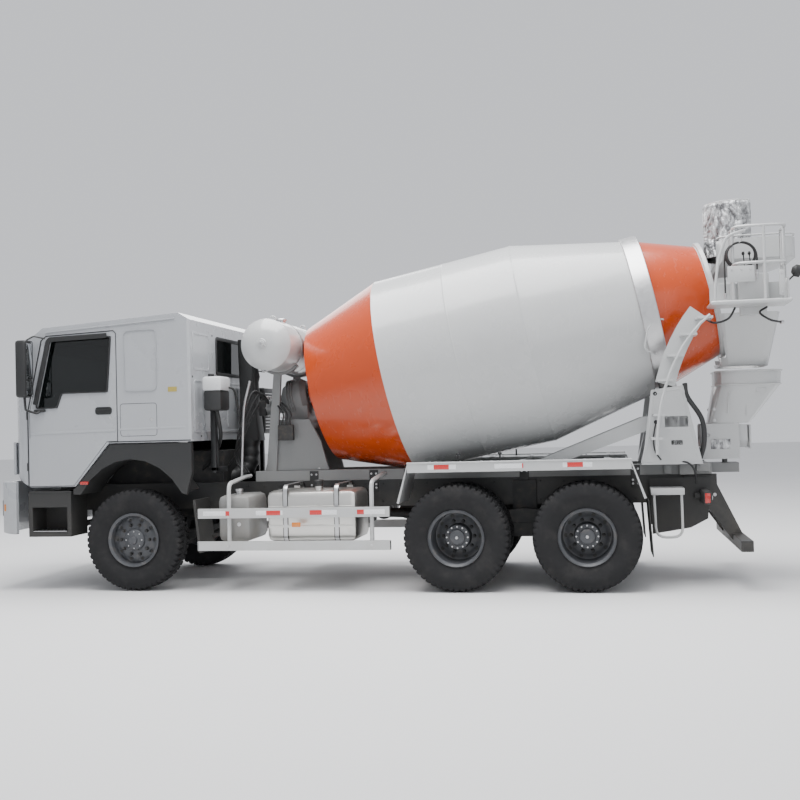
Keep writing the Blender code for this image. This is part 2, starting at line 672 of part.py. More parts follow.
def make_rear_fenders():
    deck = plate(band([(3.01, 0.94), (3.13, 1.345), (5.44, 1.345), (5.58, 0.96)], -0.025), 0.60, BODY_HALF_WIDTH)
    edge = block((3.13, 5.44), (1.21, BODY_HALF_WIDTH), (1.255, 1.36))
    stays = [block((s - 0.03, s + 0.03), (0.432, 0.62), (1.30, 1.35)) for s in (3.35, 4.3, 5.2)]
    fender = fused(deck, edge, *stays)
    for name, piece in zip(("rear_fender_left", "rear_fender_right"), both_sides(fender)):
        node(name, piece, WHITE)


def make_rear_bumper():
    arm = [(6.00, 1.14), (6.30, 1.14), (6.60, 0.50), (6.50, 0.43)]
    pieces = [plate(arm, side * 0.432, side * 0.462) for side in (1, -1)]
    pieces.append(block((6.49, 6.61), (-1.15, 1.15), (0.40, 0.51)))
    node("rear_bumper", fused(*pieces), BLACK)


# Mixer


def make_front_stand():
    foot = SUBFRAME_TOP + TOUCH
    pieces = []
    for side in (1, -1):
        leg = [(1.30, foot), (2.06, foot), (1.98, 1.60), (1.84, 1.86), (1.44, 1.86), (1.40, 1.60)]
        pieces.append(plate(leg, side * 0.345, side * 0.385))
        post = [(1.33, foot), (1.45, foot), (1.53, 2.395), (1.44, 2.395)]
        pieces.append(plate(post, side * 0.375, side * 0.425))
        clear = WATER_TANK_RADIUS + 0.007
        saddle = band(arc((WATER_TANK_STATION, WATER_TANK_Z), (clear, clear), 315, 225, 7), 0.03)
        pieces.append(plate(saddle, side * 0.36, side * 0.44))
    pieces.append(block((1.47, 1.80), (-0.37, 0.37), (1.75, 1.815)))
    pieces.append(block((1.43, 1.49), (-0.37, 0.37), (1.36, 1.59)))
    node("front_stand", fused(*pieces), GREY)


def make_drum_gearbox():
    housing = [(0, 0.40), (0.09, 0.40), (0.12, 0.33), (0.20, 0.29)]
    housing += [(0.245, 0.21), (0.245, 0.06), (0.20, 0.0), (0, 0.0)]
    start = on_drum(-0.21)
    body = turned(housing, start, -DRUM_AXIS)
    motor = rod(on_drum(-0.78), on_drum(-0.60), 0.10, sides=12)
    foot = block((1.50, 1.78), (-0.22, 0.22), (1.816, 2.02))
    node("drum_gearbox", fused(body, motor, foot), GREY)


def drum_outline():
    return [(0.0, 0.80), (0.90, 1.13), (2.50, 1.14), (3.69, 0.875), (3.69, RING_RADIUS), (3.87, RING_RADIUS),
            (3.87, 0.83), (4.46, 0.62), (4.46, 0.655), (4.51, 0.655)]


def make_drum():
    outer = drum_outline()
    inner = [(4.51, 0.60), (4.44, 0.60), (3.78, 0.815), (2.50, 1.12), (0.90, 1.11), (0.03, 0.78), (0.0, 0.0)]
    head = [(-0.185, 0.0), (-0.185, 0.17), (-0.15, 0.17), (-0.15, 0.12)]
    head += [(-0.075, 0.13), (-0.055, 0.45), (-0.02, 0.72)]
    profile = [(r, t) for t, r in [*head, *outer, *inner]]
    start = on_drum(0)
    drum = turned([(r, -t) for r, t in profile], start, -DRUM_AXIS, DRUM_STEPS, math.pi / DRUM_STEPS)
    node("drum", drum, WHITE, start)


def make_rollers():
    drop = RING_RADIUS + ROLLER_RADIUS + 0.004
    for name, side in (("roller_left", 1), ("roller_right", -1)):
        centre = on_drum(RING_T, drop * math.cos(ROLLER_ANGLE), side * drop * math.sin(ROLLER_ANGLE))
        body = rod(centre - DRUM_AXIS * 0.06, centre + DRUM_AXIS * 0.06, ROLLER_RADIUS, sides=WHEEL_STEPS)
        shaft = rod(centre - DRUM_AXIS * 0.12, centre + DRUM_AXIS * 0.12, 0.025, sides=12)
        node(name, fused(body, shaft), IRON, centre)


def make_rear_stand():
    foot = SUBFRAME_TOP + TOUCH
    pieces = []
    drop = RING_RADIUS + ROLLER_RADIUS + 0.004
    lateral = drop * math.sin(ROLLER_ANGLE)
    for side in (1, -1):
        column = [(5.56, foot), (6.19, foot), (6.02, 1.86), (5.70, 1.80)]
        pieces.append(plate(column, side * 0.40, side * STAND_OUTER_Y))
        cheek = [(5.57, 1.30), (6.18, 1.30), (6.01, 2.10), (5.68, 2.06)]
        pieces.append(plate(cheek, side * (STAND_OUTER_Y - 0.012), side * (STAND_OUTER_Y + 0.003)))
        beam = [(4.30, foot), (4.62, foot), (5.72, 1.66), (5.70, 1.79), (5.60, 1.78)]
        pieces.append(plate(beam, side * 0.42, side * 0.54))
        for end in (-1, 1):
            corners = [(0.072, -0.06), (0.112, -0.06), (0.112, 0.38), (0.072, 0.38)]
            across = [on_drum(RING_T + end * t, down + drop * math.cos(ROLLER_ANGLE)) for t, down in corners]
            outline = [(FRONT_AXLE_X - p.x, p.z) for p in across]
            pieces.append(plate(outline, side * (lateral - 0.06), side * (lateral + 0.06)))
    pieces.append(block((5.80, 5.98), (-0.45, 0.45), (1.45, 1.74)))
    bores = []
    for side in (1, -1):
        centre = on_drum(RING_T, drop * math.cos(ROLLER_ANGLE), side * lateral)
        bores.append(rod(centre - DRUM_AXIS * 0.13, centre + DRUM_AXIS * 0.13, 0.031))
    node("rear_stand", without(fused(*pieces), *bores), WHITE)


def make_water_tank():
    r = WATER_TANK_RADIUS
    end = WATER_TANK_HALF
    half = [(0, end), (0.45 * r, end - 0.02), (0.78 * r, end - 0.07), (r, end - 0.15)]
    profile = [*half, *[(a, -b) for a, b in reversed(half)]]
    node("water_tank", turned(profile, at(WATER_TANK_STATION, 0, WATER_TANK_Z), (0, 1, 0), 28), WHITE)


def rounded_ring(station_from, station_to, half_width, z, corner=0.10, count=3):
    """A ring of points: a rectangle at one height with rounded corners."""
    ring = []
    corners = ((station_to, 1, 0), (station_from, 1, 90), (station_from, -1, 180), (station_to, -1, 270))
    for cs, cy, first in corners:
        inward = -corner if cs == station_to else corner
        centre = (cs + inward, cy * (half_width - corner))
        ring += [at(s, y, z) for s, y in arc(centre, (corner, corner), first, first + 90, count)]
    return ring


def make_feed_hopper():
    outer = loft([rounded_ring(6.30, 6.48, 0.17, 3.16, 0.04), rounded_ring(6.38, 6.90, 0.34, 3.32),
                  rounded_ring(6.44, 7.25, 0.46, 3.44, 0.16), rounded_ring(6.44, 7.25, 0.46, 3.66, 0.16)])
    inner = loft([rounded_ring(6.315, 6.465, 0.155, 3.10, 0.035), rounded_ring(6.395, 6.885, 0.325, 3.322),
                  rounded_ring(6.455, 7.235, 0.445, 3.442, 0.15), rounded_ring(6.455, 7.235, 0.445, 3.69, 0.15)])
    guard = plate(band(arc((6.66, 0.0), (0.30, 0.30), 65, 295, 13), -0.015), 3.60, 4.11, "Z")
    node("feed_hopper", without(fused(outer, guard), inner), WHITE)


def make_discharge_hopper():
    outer = loft([rounded_ring(6.43, 6.95, 0.27, 2.30), rounded_ring(6.35, 7.02, 0.72, 2.84)])
    inner = loft([rounded_ring(6.443, 6.937, 0.257, 2.29), rounded_ring(6.20, 7.007, 0.707, 2.85)])
    mouth = rod(on_drum(3.9), on_drum(4.56), 0.69, sides=DRUM_STEPS)
    node("discharge_hopper", without(outer, inner, mouth), WHITE)


def make_platform():
    floor = rounded(block((6.27, 7.05), (0.78, 1.22), (PLATFORM_FLOOR - 0.04, PLATFORM_FLOOR)), 0.012, 1)
    base = PLATFORM_FLOOR - 0.015
    toe = block((6.30, 7.03), (0.80, 0.82), (base, 3.13))
    rear = block((7.01, 7.03), (0.80, 1.18), (base, 3.13))
    rails = []
    for z in (3.29, 3.66):
        path = [at(6.52, 0.81, z), at(6.52, 1.19, z), at(7.02, 1.19, z), at(7.02, 0.81, z)]
        rails.append(tube(eased(path, 0.12), 0.016, sides=1))
    post_tops = [(6.52, 0.84, 3.67), (6.52, 1.0, 3.66), (7.02, 0.84, 3.67), (7.02, 1.0, 3.66)]
    post_tops += [(6.80, 1.19, 3.66)]
    posts = [rod(at(s, y, base), at(s, y, z), 0.016, sides=8)
             for s, y, z in post_tops]
    loop = [at(6.32, 1.17, base), at(6.32, 1.17, 3.06), at(6.36, 1.17, 3.34)]
    loop += [at(6.44, 1.17, 3.57), at(6.62, 1.185, 3.62)]
    rails.append(tube(eased(loop, 0.07), 0.014, sides=1))
    bracket = block((6.60, 6.86), (0.725, 0.85), (2.80, PLATFORM_FLOOR - 0.02))
    node("platform", fused(floor, toe, rear, bracket, *rails, *posts), WHITE)


def ladder_line(station, rise, first, last, count):
    return arc((station, 1.39), (-1.0, rise), first, last, count)


def make_ladder():
    stringer = plate(band(ladder_line(6.82, 1.70, 24, 55, 7), 0.20), 0.945, 0.965)
    rail = tube([at(s, 1.16, z) for s, z in ladder_line(6.70, 1.56, 0, 64, 11)], 0.016, sides=1)
    treads = [block((s - 0.10, s + 0.06), (0.95, 1.17), (z - 0.012, z + 0.012))
              for s, z in ladder_line(6.70, 1.56, 29, 62, 4)]
    low = [block((s - 0.05, s + 0.05), (STAND_OUTER_Y + 0.006, 1.17), (z - 0.012, z + 0.012))
           for s, z in ladder_line(6.70, 1.56, 6, 15, 2)]
    node("ladder", fused(stringer, rail, *treads, *low), WHITE)


def make_chutes():
    s0 = CHUTE_AXIS_STATION
    pivot = at(s0, 0, 1.33)
    base = block((6.23, 6.62), (-0.235, 0.235), (1.30, 1.335))
    cheeks = [block((6.23, 6.62), (s * 0.215, s * 0.235), (1.32, 1.685)) for s in (1, -1)]
    swivel = fused(base, *cheeks)
    bores = [rod(at(s0, 0, 1.2), at(s0, 0, 1.4), 0.036), rod(at(6.29, -0.3, 1.56), at(6.29, 0.3, 1.56), 0.020, sides=12)]
    node("chute_swivel", without(swivel, *bores), WHITE, pivot)
    outer = loft([rounded_ring(6.31, 6.75, 0.235, 1.687), rounded_ring(6.39, 7.08, 0.34, 2.10, 0.2),
                  rounded_ring(6.39, 7.09, 0.34, 2.25, 0.2)])
    inner = loft([rounded_ring(6.33, 6.73, 0.190, 1.68), rounded_ring(6.405, 7.065, 0.325, 2.102, 0.19),
                  rounded_ring(6.405, 7.075, 0.325, 2.26, 0.19)])
    node("chute_basin", without(outer, inner), WHITE, pivot)
    u_shape = [(-0.20, 1.67), (-0.20, 1.50), (-0.12, 1.42), (0.12, 1.42), (0.20, 1.50), (0.20, 1.67),
               (0.185, 1.67), (0.185, 1.507), (0.113, 1.435), (-0.113, 1.435), (-0.185, 1.507), (-0.185, 1.67)]
    trough = plate(u_shape, 6.22, 6.71, "X")
    pins = [rod(at(6.29, s * 0.19, 1.56), at(6.29, s * 0.232, 1.56), 0.014, sides=12) for s in (1, -1)]
    node("chute_main", fused(trough, *pins), WHITE, at(6.29, 0, 1.56))
    flap = plate([(6.73, 1.41), (6.75, 1.41), (6.75, 1.665), (6.73, 1.665)], -0.19, 0.19)
    hinge = rod(at(6.74, -0.19, 1.41), at(6.74, 0.19, 1.41), 0.012, sides=10)
    node("chute_flap", fused(flap, hinge), WHITE, at(6.74, 0, 1.41))


def make_air_intake():
    duct = loft([rounded_ring(0.80, 1.06, 0.13, 1.62, 0.04), rounded_ring(0.80, 1.00, 0.11, 2.20, 0.04),
                 rounded_ring(0.80, 0.98, 0.15, 2.86, 0.04)])
    duct = copied(duct, Matrix.Translation((0, -0.30, 0)))
    foot = block((0.86, 0.98), (-0.42, -0.36), (RAIL_TOP + TOUCH, 1.66))
    node("air_intake", fused(duct, foot), PLASTIC)


def main():
    clear_scene()
    make_chassis_frame()
    make_subframe()
    make_engine()
    make_front_axle()
    make_knuckles()
    make_front_wheels()
    make_twin_wheels()
    make_drive_axles()
    make_bogie_suspension()
    make_cab()
    make_doors()
    make_front_panel()
    make_wheel_arches()
    make_dashboard()
    make_steering_wheel()
    make_seats()
    make_front_bumper()
    make_cab_steps()
    make_front_mudguards()
    make_tanks()
    make_side_guards()
    make_rear_fenders()
    make_rear_bumper()
    make_front_stand()
    make_drum_gearbox()
    make_drum()
    make_rollers()
    make_rear_stand()
    make_water_tank()
    make_feed_hopper()
    make_discharge_hopper()
    make_platform()
    make_ladder()
    make_chutes()
    make_air_intake()


main()
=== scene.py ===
"""A concrete mixer truck: the fine surfaces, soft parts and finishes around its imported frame.

Run it as a script in Blender. Lengths are in metres, +X is forward, +Y is the truck's left and +Z is up.
"""

import json
import math

import bmesh
import bpy
import numpy as np
from bpy.props import FloatProperty, FloatVectorProperty, IntProperty, PointerProperty
from mathutils import Matrix, Vector
from mathutils.geometry import tessellate_polygon

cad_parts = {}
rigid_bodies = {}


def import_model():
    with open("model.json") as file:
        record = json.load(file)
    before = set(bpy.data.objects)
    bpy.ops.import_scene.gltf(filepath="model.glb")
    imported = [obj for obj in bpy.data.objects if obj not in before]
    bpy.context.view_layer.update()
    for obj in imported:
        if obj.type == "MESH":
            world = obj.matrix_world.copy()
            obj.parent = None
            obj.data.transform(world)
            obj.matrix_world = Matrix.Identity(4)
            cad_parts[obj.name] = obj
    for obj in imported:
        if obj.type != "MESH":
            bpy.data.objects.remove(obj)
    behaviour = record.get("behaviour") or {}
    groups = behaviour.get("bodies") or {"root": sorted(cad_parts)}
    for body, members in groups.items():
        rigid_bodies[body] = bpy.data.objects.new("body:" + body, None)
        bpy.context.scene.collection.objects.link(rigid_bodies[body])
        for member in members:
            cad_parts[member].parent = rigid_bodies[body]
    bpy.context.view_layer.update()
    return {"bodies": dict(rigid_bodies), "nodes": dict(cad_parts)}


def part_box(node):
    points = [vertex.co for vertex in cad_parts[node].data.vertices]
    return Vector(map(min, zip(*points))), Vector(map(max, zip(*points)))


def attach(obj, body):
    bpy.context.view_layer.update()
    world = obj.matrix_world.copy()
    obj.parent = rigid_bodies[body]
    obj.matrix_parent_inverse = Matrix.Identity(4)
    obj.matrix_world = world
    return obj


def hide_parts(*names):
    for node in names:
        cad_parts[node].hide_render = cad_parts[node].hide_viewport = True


bl_info = {
    "name": "Concrete Mixer Truck",
    "version": (1, 0, 0),
    "blender": (4, 5, 0),
    "location": "View3D > Sidebar > Mixer",
    "description": "Builds the fine pieces and finishes of a concrete mixer truck around its frame",
    "category": "Add Mesh",
}

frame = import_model()

SIDES = (("left", 1), ("right", -1))
AXLE = (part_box("tyre_front_left")[0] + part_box("tyre_front_left")[1]) / 2
AXLE_X, WHEEL_Z = AXLE.x, AXLE.z
TYRE_RADIUS = WHEEL_Z
FRONT_WHEEL_Y = AXLE.y
TWIN_Y = sum(corner.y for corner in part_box("twin_wheel_front_left")) / 2
TWIN_OFFSET = 0.175
DRIVE_STATIONS = (("front", 3.625), ("rear", 4.975))
DRUM_TILT = math.radians(11.5)
DRUM_AXIS = np.array((-math.cos(DRUM_TILT), 0.0, math.sin(DRUM_TILT)))
DRUM_DOWN = np.array((-math.sin(DRUM_TILT), 0.0, -math.cos(DRUM_TILT)))
DRUM_FRONT = np.array((AXLE_X - 1.97, 0.0, 2.16))
RING_T = (3.69, 3.87)
CAB_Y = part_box("cab_shell")[1].y
ROOT, CAB = "root", "cab"


def at(station, y, z):
    """A point by its distance behind the front axle, its side and its height."""
    return np.array((AXLE_X - station, y, z), float)


def on_drum(t, down=0.0, y=0.0):
    """A point by its distance along the drum's axis, below it and beside it."""
    return DRUM_FRONT + DRUM_AXIS * t + DRUM_DOWN * down + np.array((0.0, y, 0.0))


# Surfaces


class Surface:
    """Points, the faces over them, and a place on the surface for each corner of a face."""

    def __init__(self, points, quads=(), triangles=(), quad_places=(), triangle_places=()):
        self.points = np.asarray(points, float).reshape(-1, 3)
        self.quads = np.asarray(quads, int).reshape(-1, 4)
        self.triangles = np.asarray(triangles, int).reshape(-1, 3)
        self.quad_places = np.asarray(quad_places, float).reshape(-1, 4, 2)
        self.triangle_places = np.asarray(triangle_places, float).reshape(-1, 3, 2)

    def __add__(self, other):
        step = len(self.points)
        return Surface(
            np.concatenate([self.points, other.points]),
            np.concatenate([self.quads, other.quads + step]),
            np.concatenate([self.triangles, other.triangles + step]),
            np.concatenate([self.quad_places, other.quad_places]),
            np.concatenate([self.triangle_places, other.triangle_places]),
        )

    def through(self, change, turned_over=False):
        """The same faces over points that a function has moved, turned over where it mirrors them."""
        way = slice(None, None, -1 if turned_over else 1)
        return Surface(
            change(self.points), self.quads[:, way], self.triangles[:, way],
            self.quad_places[:, way], self.triangle_places[:, way],
        )

    def mirrored(self, sign=-1):
        """The other side's copy, with y negated, or the same one for a sign of +1."""
        return self.through(lambda points: points * np.array((1, sign, 1)), sign < 0)

    def volume(self):
        """Six times the signed volume, from the corners of every face."""
        corners = np.concatenate([self.quads[:, [0, 1, 2]], self.quads[:, [0, 2, 3]], self.triangles])
        a, b, c = (self.points[corners[:, k]] for k in range(3))
        return float(np.einsum("ij,ij->i", a, np.cross(b, c)).sum())


def together(surfaces):
    """Several surfaces as one, added up in order."""
    whole = Surface(np.zeros((0, 3)))
    for surface in surfaces:
        whole = whole + surface
    return whole


def flat_cap(row):
    """Triangles that fill one flat outline, all facing the way its points go round."""
    found = np.array(tessellate_polygon([[Vector(point) for point in row]]), int).reshape(-1, 3)
    normal = np.cross(row, np.roll(row, -1, 0)).sum(0)
    a, b, c = (row[found[:, k]] for k in range(3))
    facing = np.cross(b - a, c - a) @ normal
    found[facing < 0] = found[facing < 0][:, ::-1]
    return found


def lattice(points, round_rows=False, round_columns=True, capped=True, outline_ends=False):
    """A closed surface through a grid of points: rows follow each other along it, columns run round it.

    Each face joins row i and i + 1 and column j and j + 1, a closed direction goes back to its start,
    and an open end is closed by a fan to the middle of its last row, or by triangles within its outline.
    """
    points = np.asarray(points, float)
    rows, columns = points.shape[:2]
    i, j = np.meshgrid(
        np.arange(rows if round_rows else rows - 1),
        np.arange(columns if round_columns else columns - 1),
        indexing="ij",
    )
    corner_rows = np.stack([i, i + 1, i + 1, i], -1).reshape(-1, 4)
    corner_columns = np.stack([j, j, j + 1, j + 1], -1).reshape(-1, 4)
    quads = (corner_rows % rows) * columns + corner_columns % columns
    places = np.stack([corner_rows / rows, corner_columns / columns], -1)
    all_points = points.reshape(-1, 3)
    triangles, triangle_places = np.zeros((0, 3), int), np.zeros((0, 3, 2))
    if capped and round_columns and not round_rows:
        far = (rows - 1) * columns
        if outline_ends:
            cap = flat_cap(points[0])
            triangles = np.concatenate([cap, flat_cap(points[-1])[:, ::-1] + far])
        else:
            ring = np.arange(columns)
            after = (ring + 1) % columns
            first, last = np.full(columns, len(all_points)), np.full(columns, len(all_points) + 1)
            triangles = np.concatenate([
                np.stack([first, ring, after], -1), np.stack([last, far + after, far + ring], -1)
            ])
            all_points = np.concatenate([all_points, [points[0].mean(0), points[-1].mean(0)]])
        triangle_places = np.zeros((len(triangles), 3, 2))
    made = Surface(all_points, quads, triangles, places, triangle_places)
    if made.volume() < 0:
        made = made.through(lambda same: same, True)
    return made


def across(axis):
    """Two unit directions at right angles to an axis and to each other."""
    axis = np.asarray(axis, float) / np.linalg.norm(axis)
    helper = np.array((0.0, 0.0, 1.0)) if abs(axis[2]) < 0.9 else np.array((1.0, 0.0, 0.0))
    first = np.cross(helper, axis)
    first /= np.linalg.norm(first)
    return first, np.cross(axis, first)


def turned(profile, centre, axis, steps=32, closed=False, ripple=None):
    """A profile of (distance along the axis, radius) turned once round it.

    A point is centre + axis * along + radius * (u cos a + v sin a); ripple(along, radius, a) may change
    both distances over the surface. A closed profile makes a ring.
    """
    axis = np.asarray(axis, float) / np.linalg.norm(axis)
    u, v = across(axis)
    angle = np.linspace(0, math.tau, steps, endpoint=False)
    along, radius = (np.asarray(profile, float)[:, [k]] * np.ones(steps) for k in (0, 1))
    if ripple:
        along, radius = ripple(along, radius, angle[None, :] * np.ones_like(along))
    points = (
        np.asarray(centre, float)
        + along[..., None] * axis
        + radius[..., None] * (np.cos(angle)[:, None] * u + np.sin(angle)[:, None] * v)
    )
    return lattice(points, round_rows=closed)


def ring_round(radius, count, start=0.0):
    """Angles spread evenly round a circle, with the cosine and sine of each times the radius."""
    angle = start + np.arange(count) * math.tau / count
    return zip(angle, radius * np.cos(angle), radius * np.sin(angle))


def swept(path, section, up=(0.0, 0.0, 1.0), loop=False, scale=None):
    """A closed section of (side, rise) offsets carried along a path, square to it.

    Each row is point + side * s + rise * r, where s is the path's direction crossed with up and
    r is s crossed with the direction.
    """
    path, section = np.asarray(path, float), np.asarray(section, float)
    if loop:
        forward = np.roll(path, -1, 0) - np.roll(path, 1, 0)
    else:
        forward = np.gradient(path, axis=0)
    forward /= np.linalg.norm(forward, axis=1, keepdims=True)
    side = np.cross(forward, np.asarray(up, float))
    side /= np.linalg.norm(side, axis=1, keepdims=True)
    rise = np.cross(side, forward)
    grow = np.ones(len(path)) if scale is None else np.asarray(scale, float)
    points = (
        path[:, None, :]
        + (section[:, 0] * grow[:, None])[..., None] * side[:, None, :]
        + (section[:, 1] * grow[:, None])[..., None] * rise[:, None, :]
    )
    return lattice(points, round_rows=loop)


def circle(radius, sides=12):
    """A round section."""
    angle = np.linspace(0, math.tau, sides, endpoint=False)
    return np.stack([radius * np.cos(angle), radius * np.sin(angle)], -1)


def rounded_section(width, height, radius, steps=3):
    """A rectangle's outline with its corners turned on arcs of one radius."""
    radius = min(radius, width / 2 - 1e-4, height / 2 - 1e-4)
    corners = []
    for k, (x, y) in enumerate(((1, 1), (-1, 1), (-1, -1), (1, -1))):
        angle = math.pi / 2 * (k + np.linspace(0, 1, steps + 1))
        centre = (x * (width / 2 - radius), y * (height / 2 - radius))
        corners.append(
            np.stack([centre[0] + radius * np.cos(angle), centre[1] + radius * np.sin(angle)], -1)
        )
    return np.concatenate(corners)


def brick(low, high, radius=0.006, steps=2):
    """A box with rounded edges: its outline shrinks on a quarter circle towards both ends."""
    low, high = np.minimum(low, high).astype(float), np.maximum(low, high).astype(float)
    size = high - low
    radius = min(radius, *(size / 2 - 1e-4))
    angle = np.linspace(0, math.pi / 2, steps + 1)
    turn_in, turn_up = radius * (1 - np.sin(angle)), radius * (1 - np.cos(angle))
    flat = radius + min(0.3 * radius, (min(size[:2]) / 2 - radius) * 0.5)
    rise = np.concatenate([[0], turn_up, size[2] - turn_up[::-1], [size[2]]])
    inward = np.concatenate([[flat], turn_in, turn_in[::-1], [flat]])
    rows = [
        rounded_section(size[0] - 2 * i, size[1] - 2 * i, max(radius - i, radius * 0.02), steps)
        for i in inward
    ]
    centre = (low + high) / 2
    points = [
        np.column_stack([row + centre[:2], np.full(len(row), low[2] + z)]) for row, z in zip(rows, rise)
    ]
    return lattice(points)


def rod(start, end, radius, end_radius=None, sides=16, edge=0.0):
    """A round bar between two points, with its rims eased by a small chamfer."""
    start, end = np.asarray(start, float), np.asarray(end, float)
    length = np.linalg.norm(end - start)
    far = radius if end_radius is None else end_radius
    profile = [(0, radius - edge), (edge, radius), (length - edge, far), (length, far - edge)]
    if not edge:
        profile = [(0, radius), (length, far)]
    return turned(profile, start, end - start, sides)


def smooth_path(points, steps=10):
    """A curve through points: between each pair it is a cubic whose slopes are those of the neighbours."""
    points = np.asarray(points, float)
    slopes = np.gradient(points, axis=0)
    t = np.linspace(0, 1, steps, endpoint=False)[None, :, None]
    a, b, da, db = (x[:, None, :] for x in (points[:-1], points[1:], slopes[:-1], slopes[1:]))
    curve = (
        (2 * t**3 - 3 * t**2 + 1) * a + (t**3 - 2 * t**2 + t) * da
        + (3 * t**2 - 2 * t**3) * b + (t**3 - t**2) * db
    )
    return np.concatenate([curve.reshape(-1, points.shape[1]), points[-1:]])


def eased_path(corners, radius, steps=4):
    """Straight runs joined by bends: each inner corner becomes a short curve."""
    corners = [np.asarray(corner, float) for corner in corners]
    path = [corners[0]]
    for before, corner, after in zip(corners, corners[1:], corners[2:]):
        to_start, to_end = before - corner, after - corner
        reach = min(radius, np.linalg.norm(to_start) * 0.49, np.linalg.norm(to_end) * 0.49)
        start = corner + to_start / np.linalg.norm(to_start) * reach
        end = corner + to_end / np.linalg.norm(to_end) * reach
        for t in np.linspace(0, 1, steps + 1):
            path.append((1 - t) ** 2 * start + 2 * t * (1 - t) * corner + t**2 * end)
    return np.array([*path, corners[-1]])


def hexagon(centre, axis, width, height):
    """A bolt's head: a six-sided bar with its top edge cut back."""
    profile = [(0, width), (height * 0.8, width), (height, width * 0.86)]
    return turned(profile, centre, axis, 6)


def sheet_between(outline, low, high, normal="Y"):
    """A flat outline given thickness along one axis."""
    outline = np.asarray(outline, float)
    rows = []
    for level in (low, high):
        flat = np.full(len(outline), level)
        first, second = outline[:, 0], outline[:, 1]
        if normal == "Y":
            rows.append(np.stack([AXLE_X - first, flat, second], -1))
        elif normal == "X":
            rows.append(np.stack([AXLE_X - flat, first, second], -1))
        else:
            rows.append(np.stack([AXLE_X - first, second, flat], -1))
    return lattice(rows, outline_ends=True)


# Pieces


def mesh_from(name, surface):
    """A Blender mesh with a surface's points, faces and the places of its corners as a UV map."""
    mesh = bpy.data.meshes.new(name)
    quads, triangles = surface.quads, surface.triangles
    corners = np.concatenate([quads.ravel(), triangles.ravel()])
    starts = np.concatenate([
        np.arange(len(quads)) * 4, len(quads) * 4 + np.arange(len(triangles)) * 3
    ])
    mesh.vertices.add(len(surface.points))
    mesh.vertices.foreach_set("co", surface.points.astype(np.float32).ravel())
    mesh.loops.add(len(corners))
    mesh.loops.foreach_set("vertex_index", corners.astype(np.int32))
    mesh.polygons.add(len(starts))
    mesh.polygons.foreach_set("loop_start", starts.astype(np.int32))
    places = np.concatenate([surface.quad_places.reshape(-1, 2), surface.triangle_places.reshape(-1, 2)])
    mesh.uv_layers.new(name="place").data.foreach_set("uv", places.astype(np.float32).ravel())
    mesh.update(calc_edges=True)
    mesh.validate()
    return mesh


def shade(mesh, angle):
    """Smooth faces, with an edge left sharp where its faces meet at more than an angle in degrees."""
    mesh.shade_smooth()
    mesh.set_sharp_from_angle(angle=math.radians(angle))


def piece(name, surface, body, finish, slot=None, instead_of=(), sharp=38, edge=0.0, merge=0.0):
    """One finished object: its mesh, finish, eased edges, body and the node it stands for."""
    mesh = mesh_from(name, surface)
    if merge:
        merged = bmesh.new()
        merged.from_mesh(mesh)
        bmesh.ops.remove_doubles(merged, verts=merged.verts, dist=merge)
        merged.to_mesh(mesh)
        merged.free()
    shade(mesh, sharp)
    obj = bpy.data.objects.new(name, mesh)
    bpy.context.scene.collection.objects.link(obj)
    mesh.materials.append(finish)
    if edge:
        ease_edges(obj, edge)
    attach(obj, body)
    if instead_of:
        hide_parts(*instead_of)
    return obj


def ease_edges(obj, width, angle=34):
    """A small round on every edge that is sharper than an angle."""
    bevel = obj.modifiers.new("eased_edges", "BEVEL")
    bevel.width = width
    bevel.segments = 2
    bevel.limit_method = "ANGLE"
    bevel.angle_limit = math.radians(angle)
    bevel.harden_normals = True
    bevel.use_clamp_overlap = True


def skin_of(node, finish, width, angle=34):
    """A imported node's shape with its flat faces whole again and its edges eased, which shows in its place."""
    source = frame["nodes"][node]
    mesh = source.data.copy()
    mesh.name = node + "_skin"
    whole = bmesh.new()
    whole.from_mesh(mesh)
    bmesh.ops.remove_doubles(whole, verts=whole.verts, dist=2e-5)
    bmesh.ops.dissolve_limit(
        whole, angle_limit=math.radians(0.6), verts=whole.verts, edges=whole.edges
    )
    whole.to_mesh(mesh)
    whole.free()
    mesh.materials.clear()
    mesh.materials.append(finish)
    shade(mesh, angle)
    obj = bpy.data.objects.new(node + "_skin", mesh)
    bpy.context.scene.collection.objects.link(obj)
    ease_edges(obj, width, angle)
    body = next(name for name, empty in frame["bodies"].items() if source.parent is empty)
    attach(obj, body)
    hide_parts(node)
    return obj


# Finishes


class Reading:
    """One output of a finish's nodes. Arithmetic on it adds Math nodes to the finish."""

    def __init__(self, finish, socket):
        self.finish = finish
        self.socket = socket

    def math(self, operation, *values):
        return self.finish.node(
            "ShaderNodeMath", {"operation": operation}, dict(enumerate(values))
        )

    def __add__(self, other):
        return self.math("ADD", self, other)

    __radd__ = __add__

    def __mul__(self, other):
        return self.math("MULTIPLY", self, other)

    __rmul__ = __mul__

    def __sub__(self, other):
        return self.math("SUBTRACT", self, other)

    def __rsub__(self, other):
        return self.math("SUBTRACT", other, self)

    def __gt__(self, other):
        return self.math("GREATER_THAN", self, other)

    def __mod__(self, other):
        return self.math("FLOORED_MODULO", self, other)

    def size(self):
        return self.math("ABSOLUTE", self)

    def wave(self):
        return self.math("SINE", self)

    def eased(self, low, high):
        """0 below one value and 1 above another, with a smooth step between them."""
        return self.finish.node(
            "ShaderNodeMapRange",
            {"interpolation_type": "SMOOTHSTEP", "clamp": True},
            {"Value": self, "From Min": low, "From Max": high},
        )


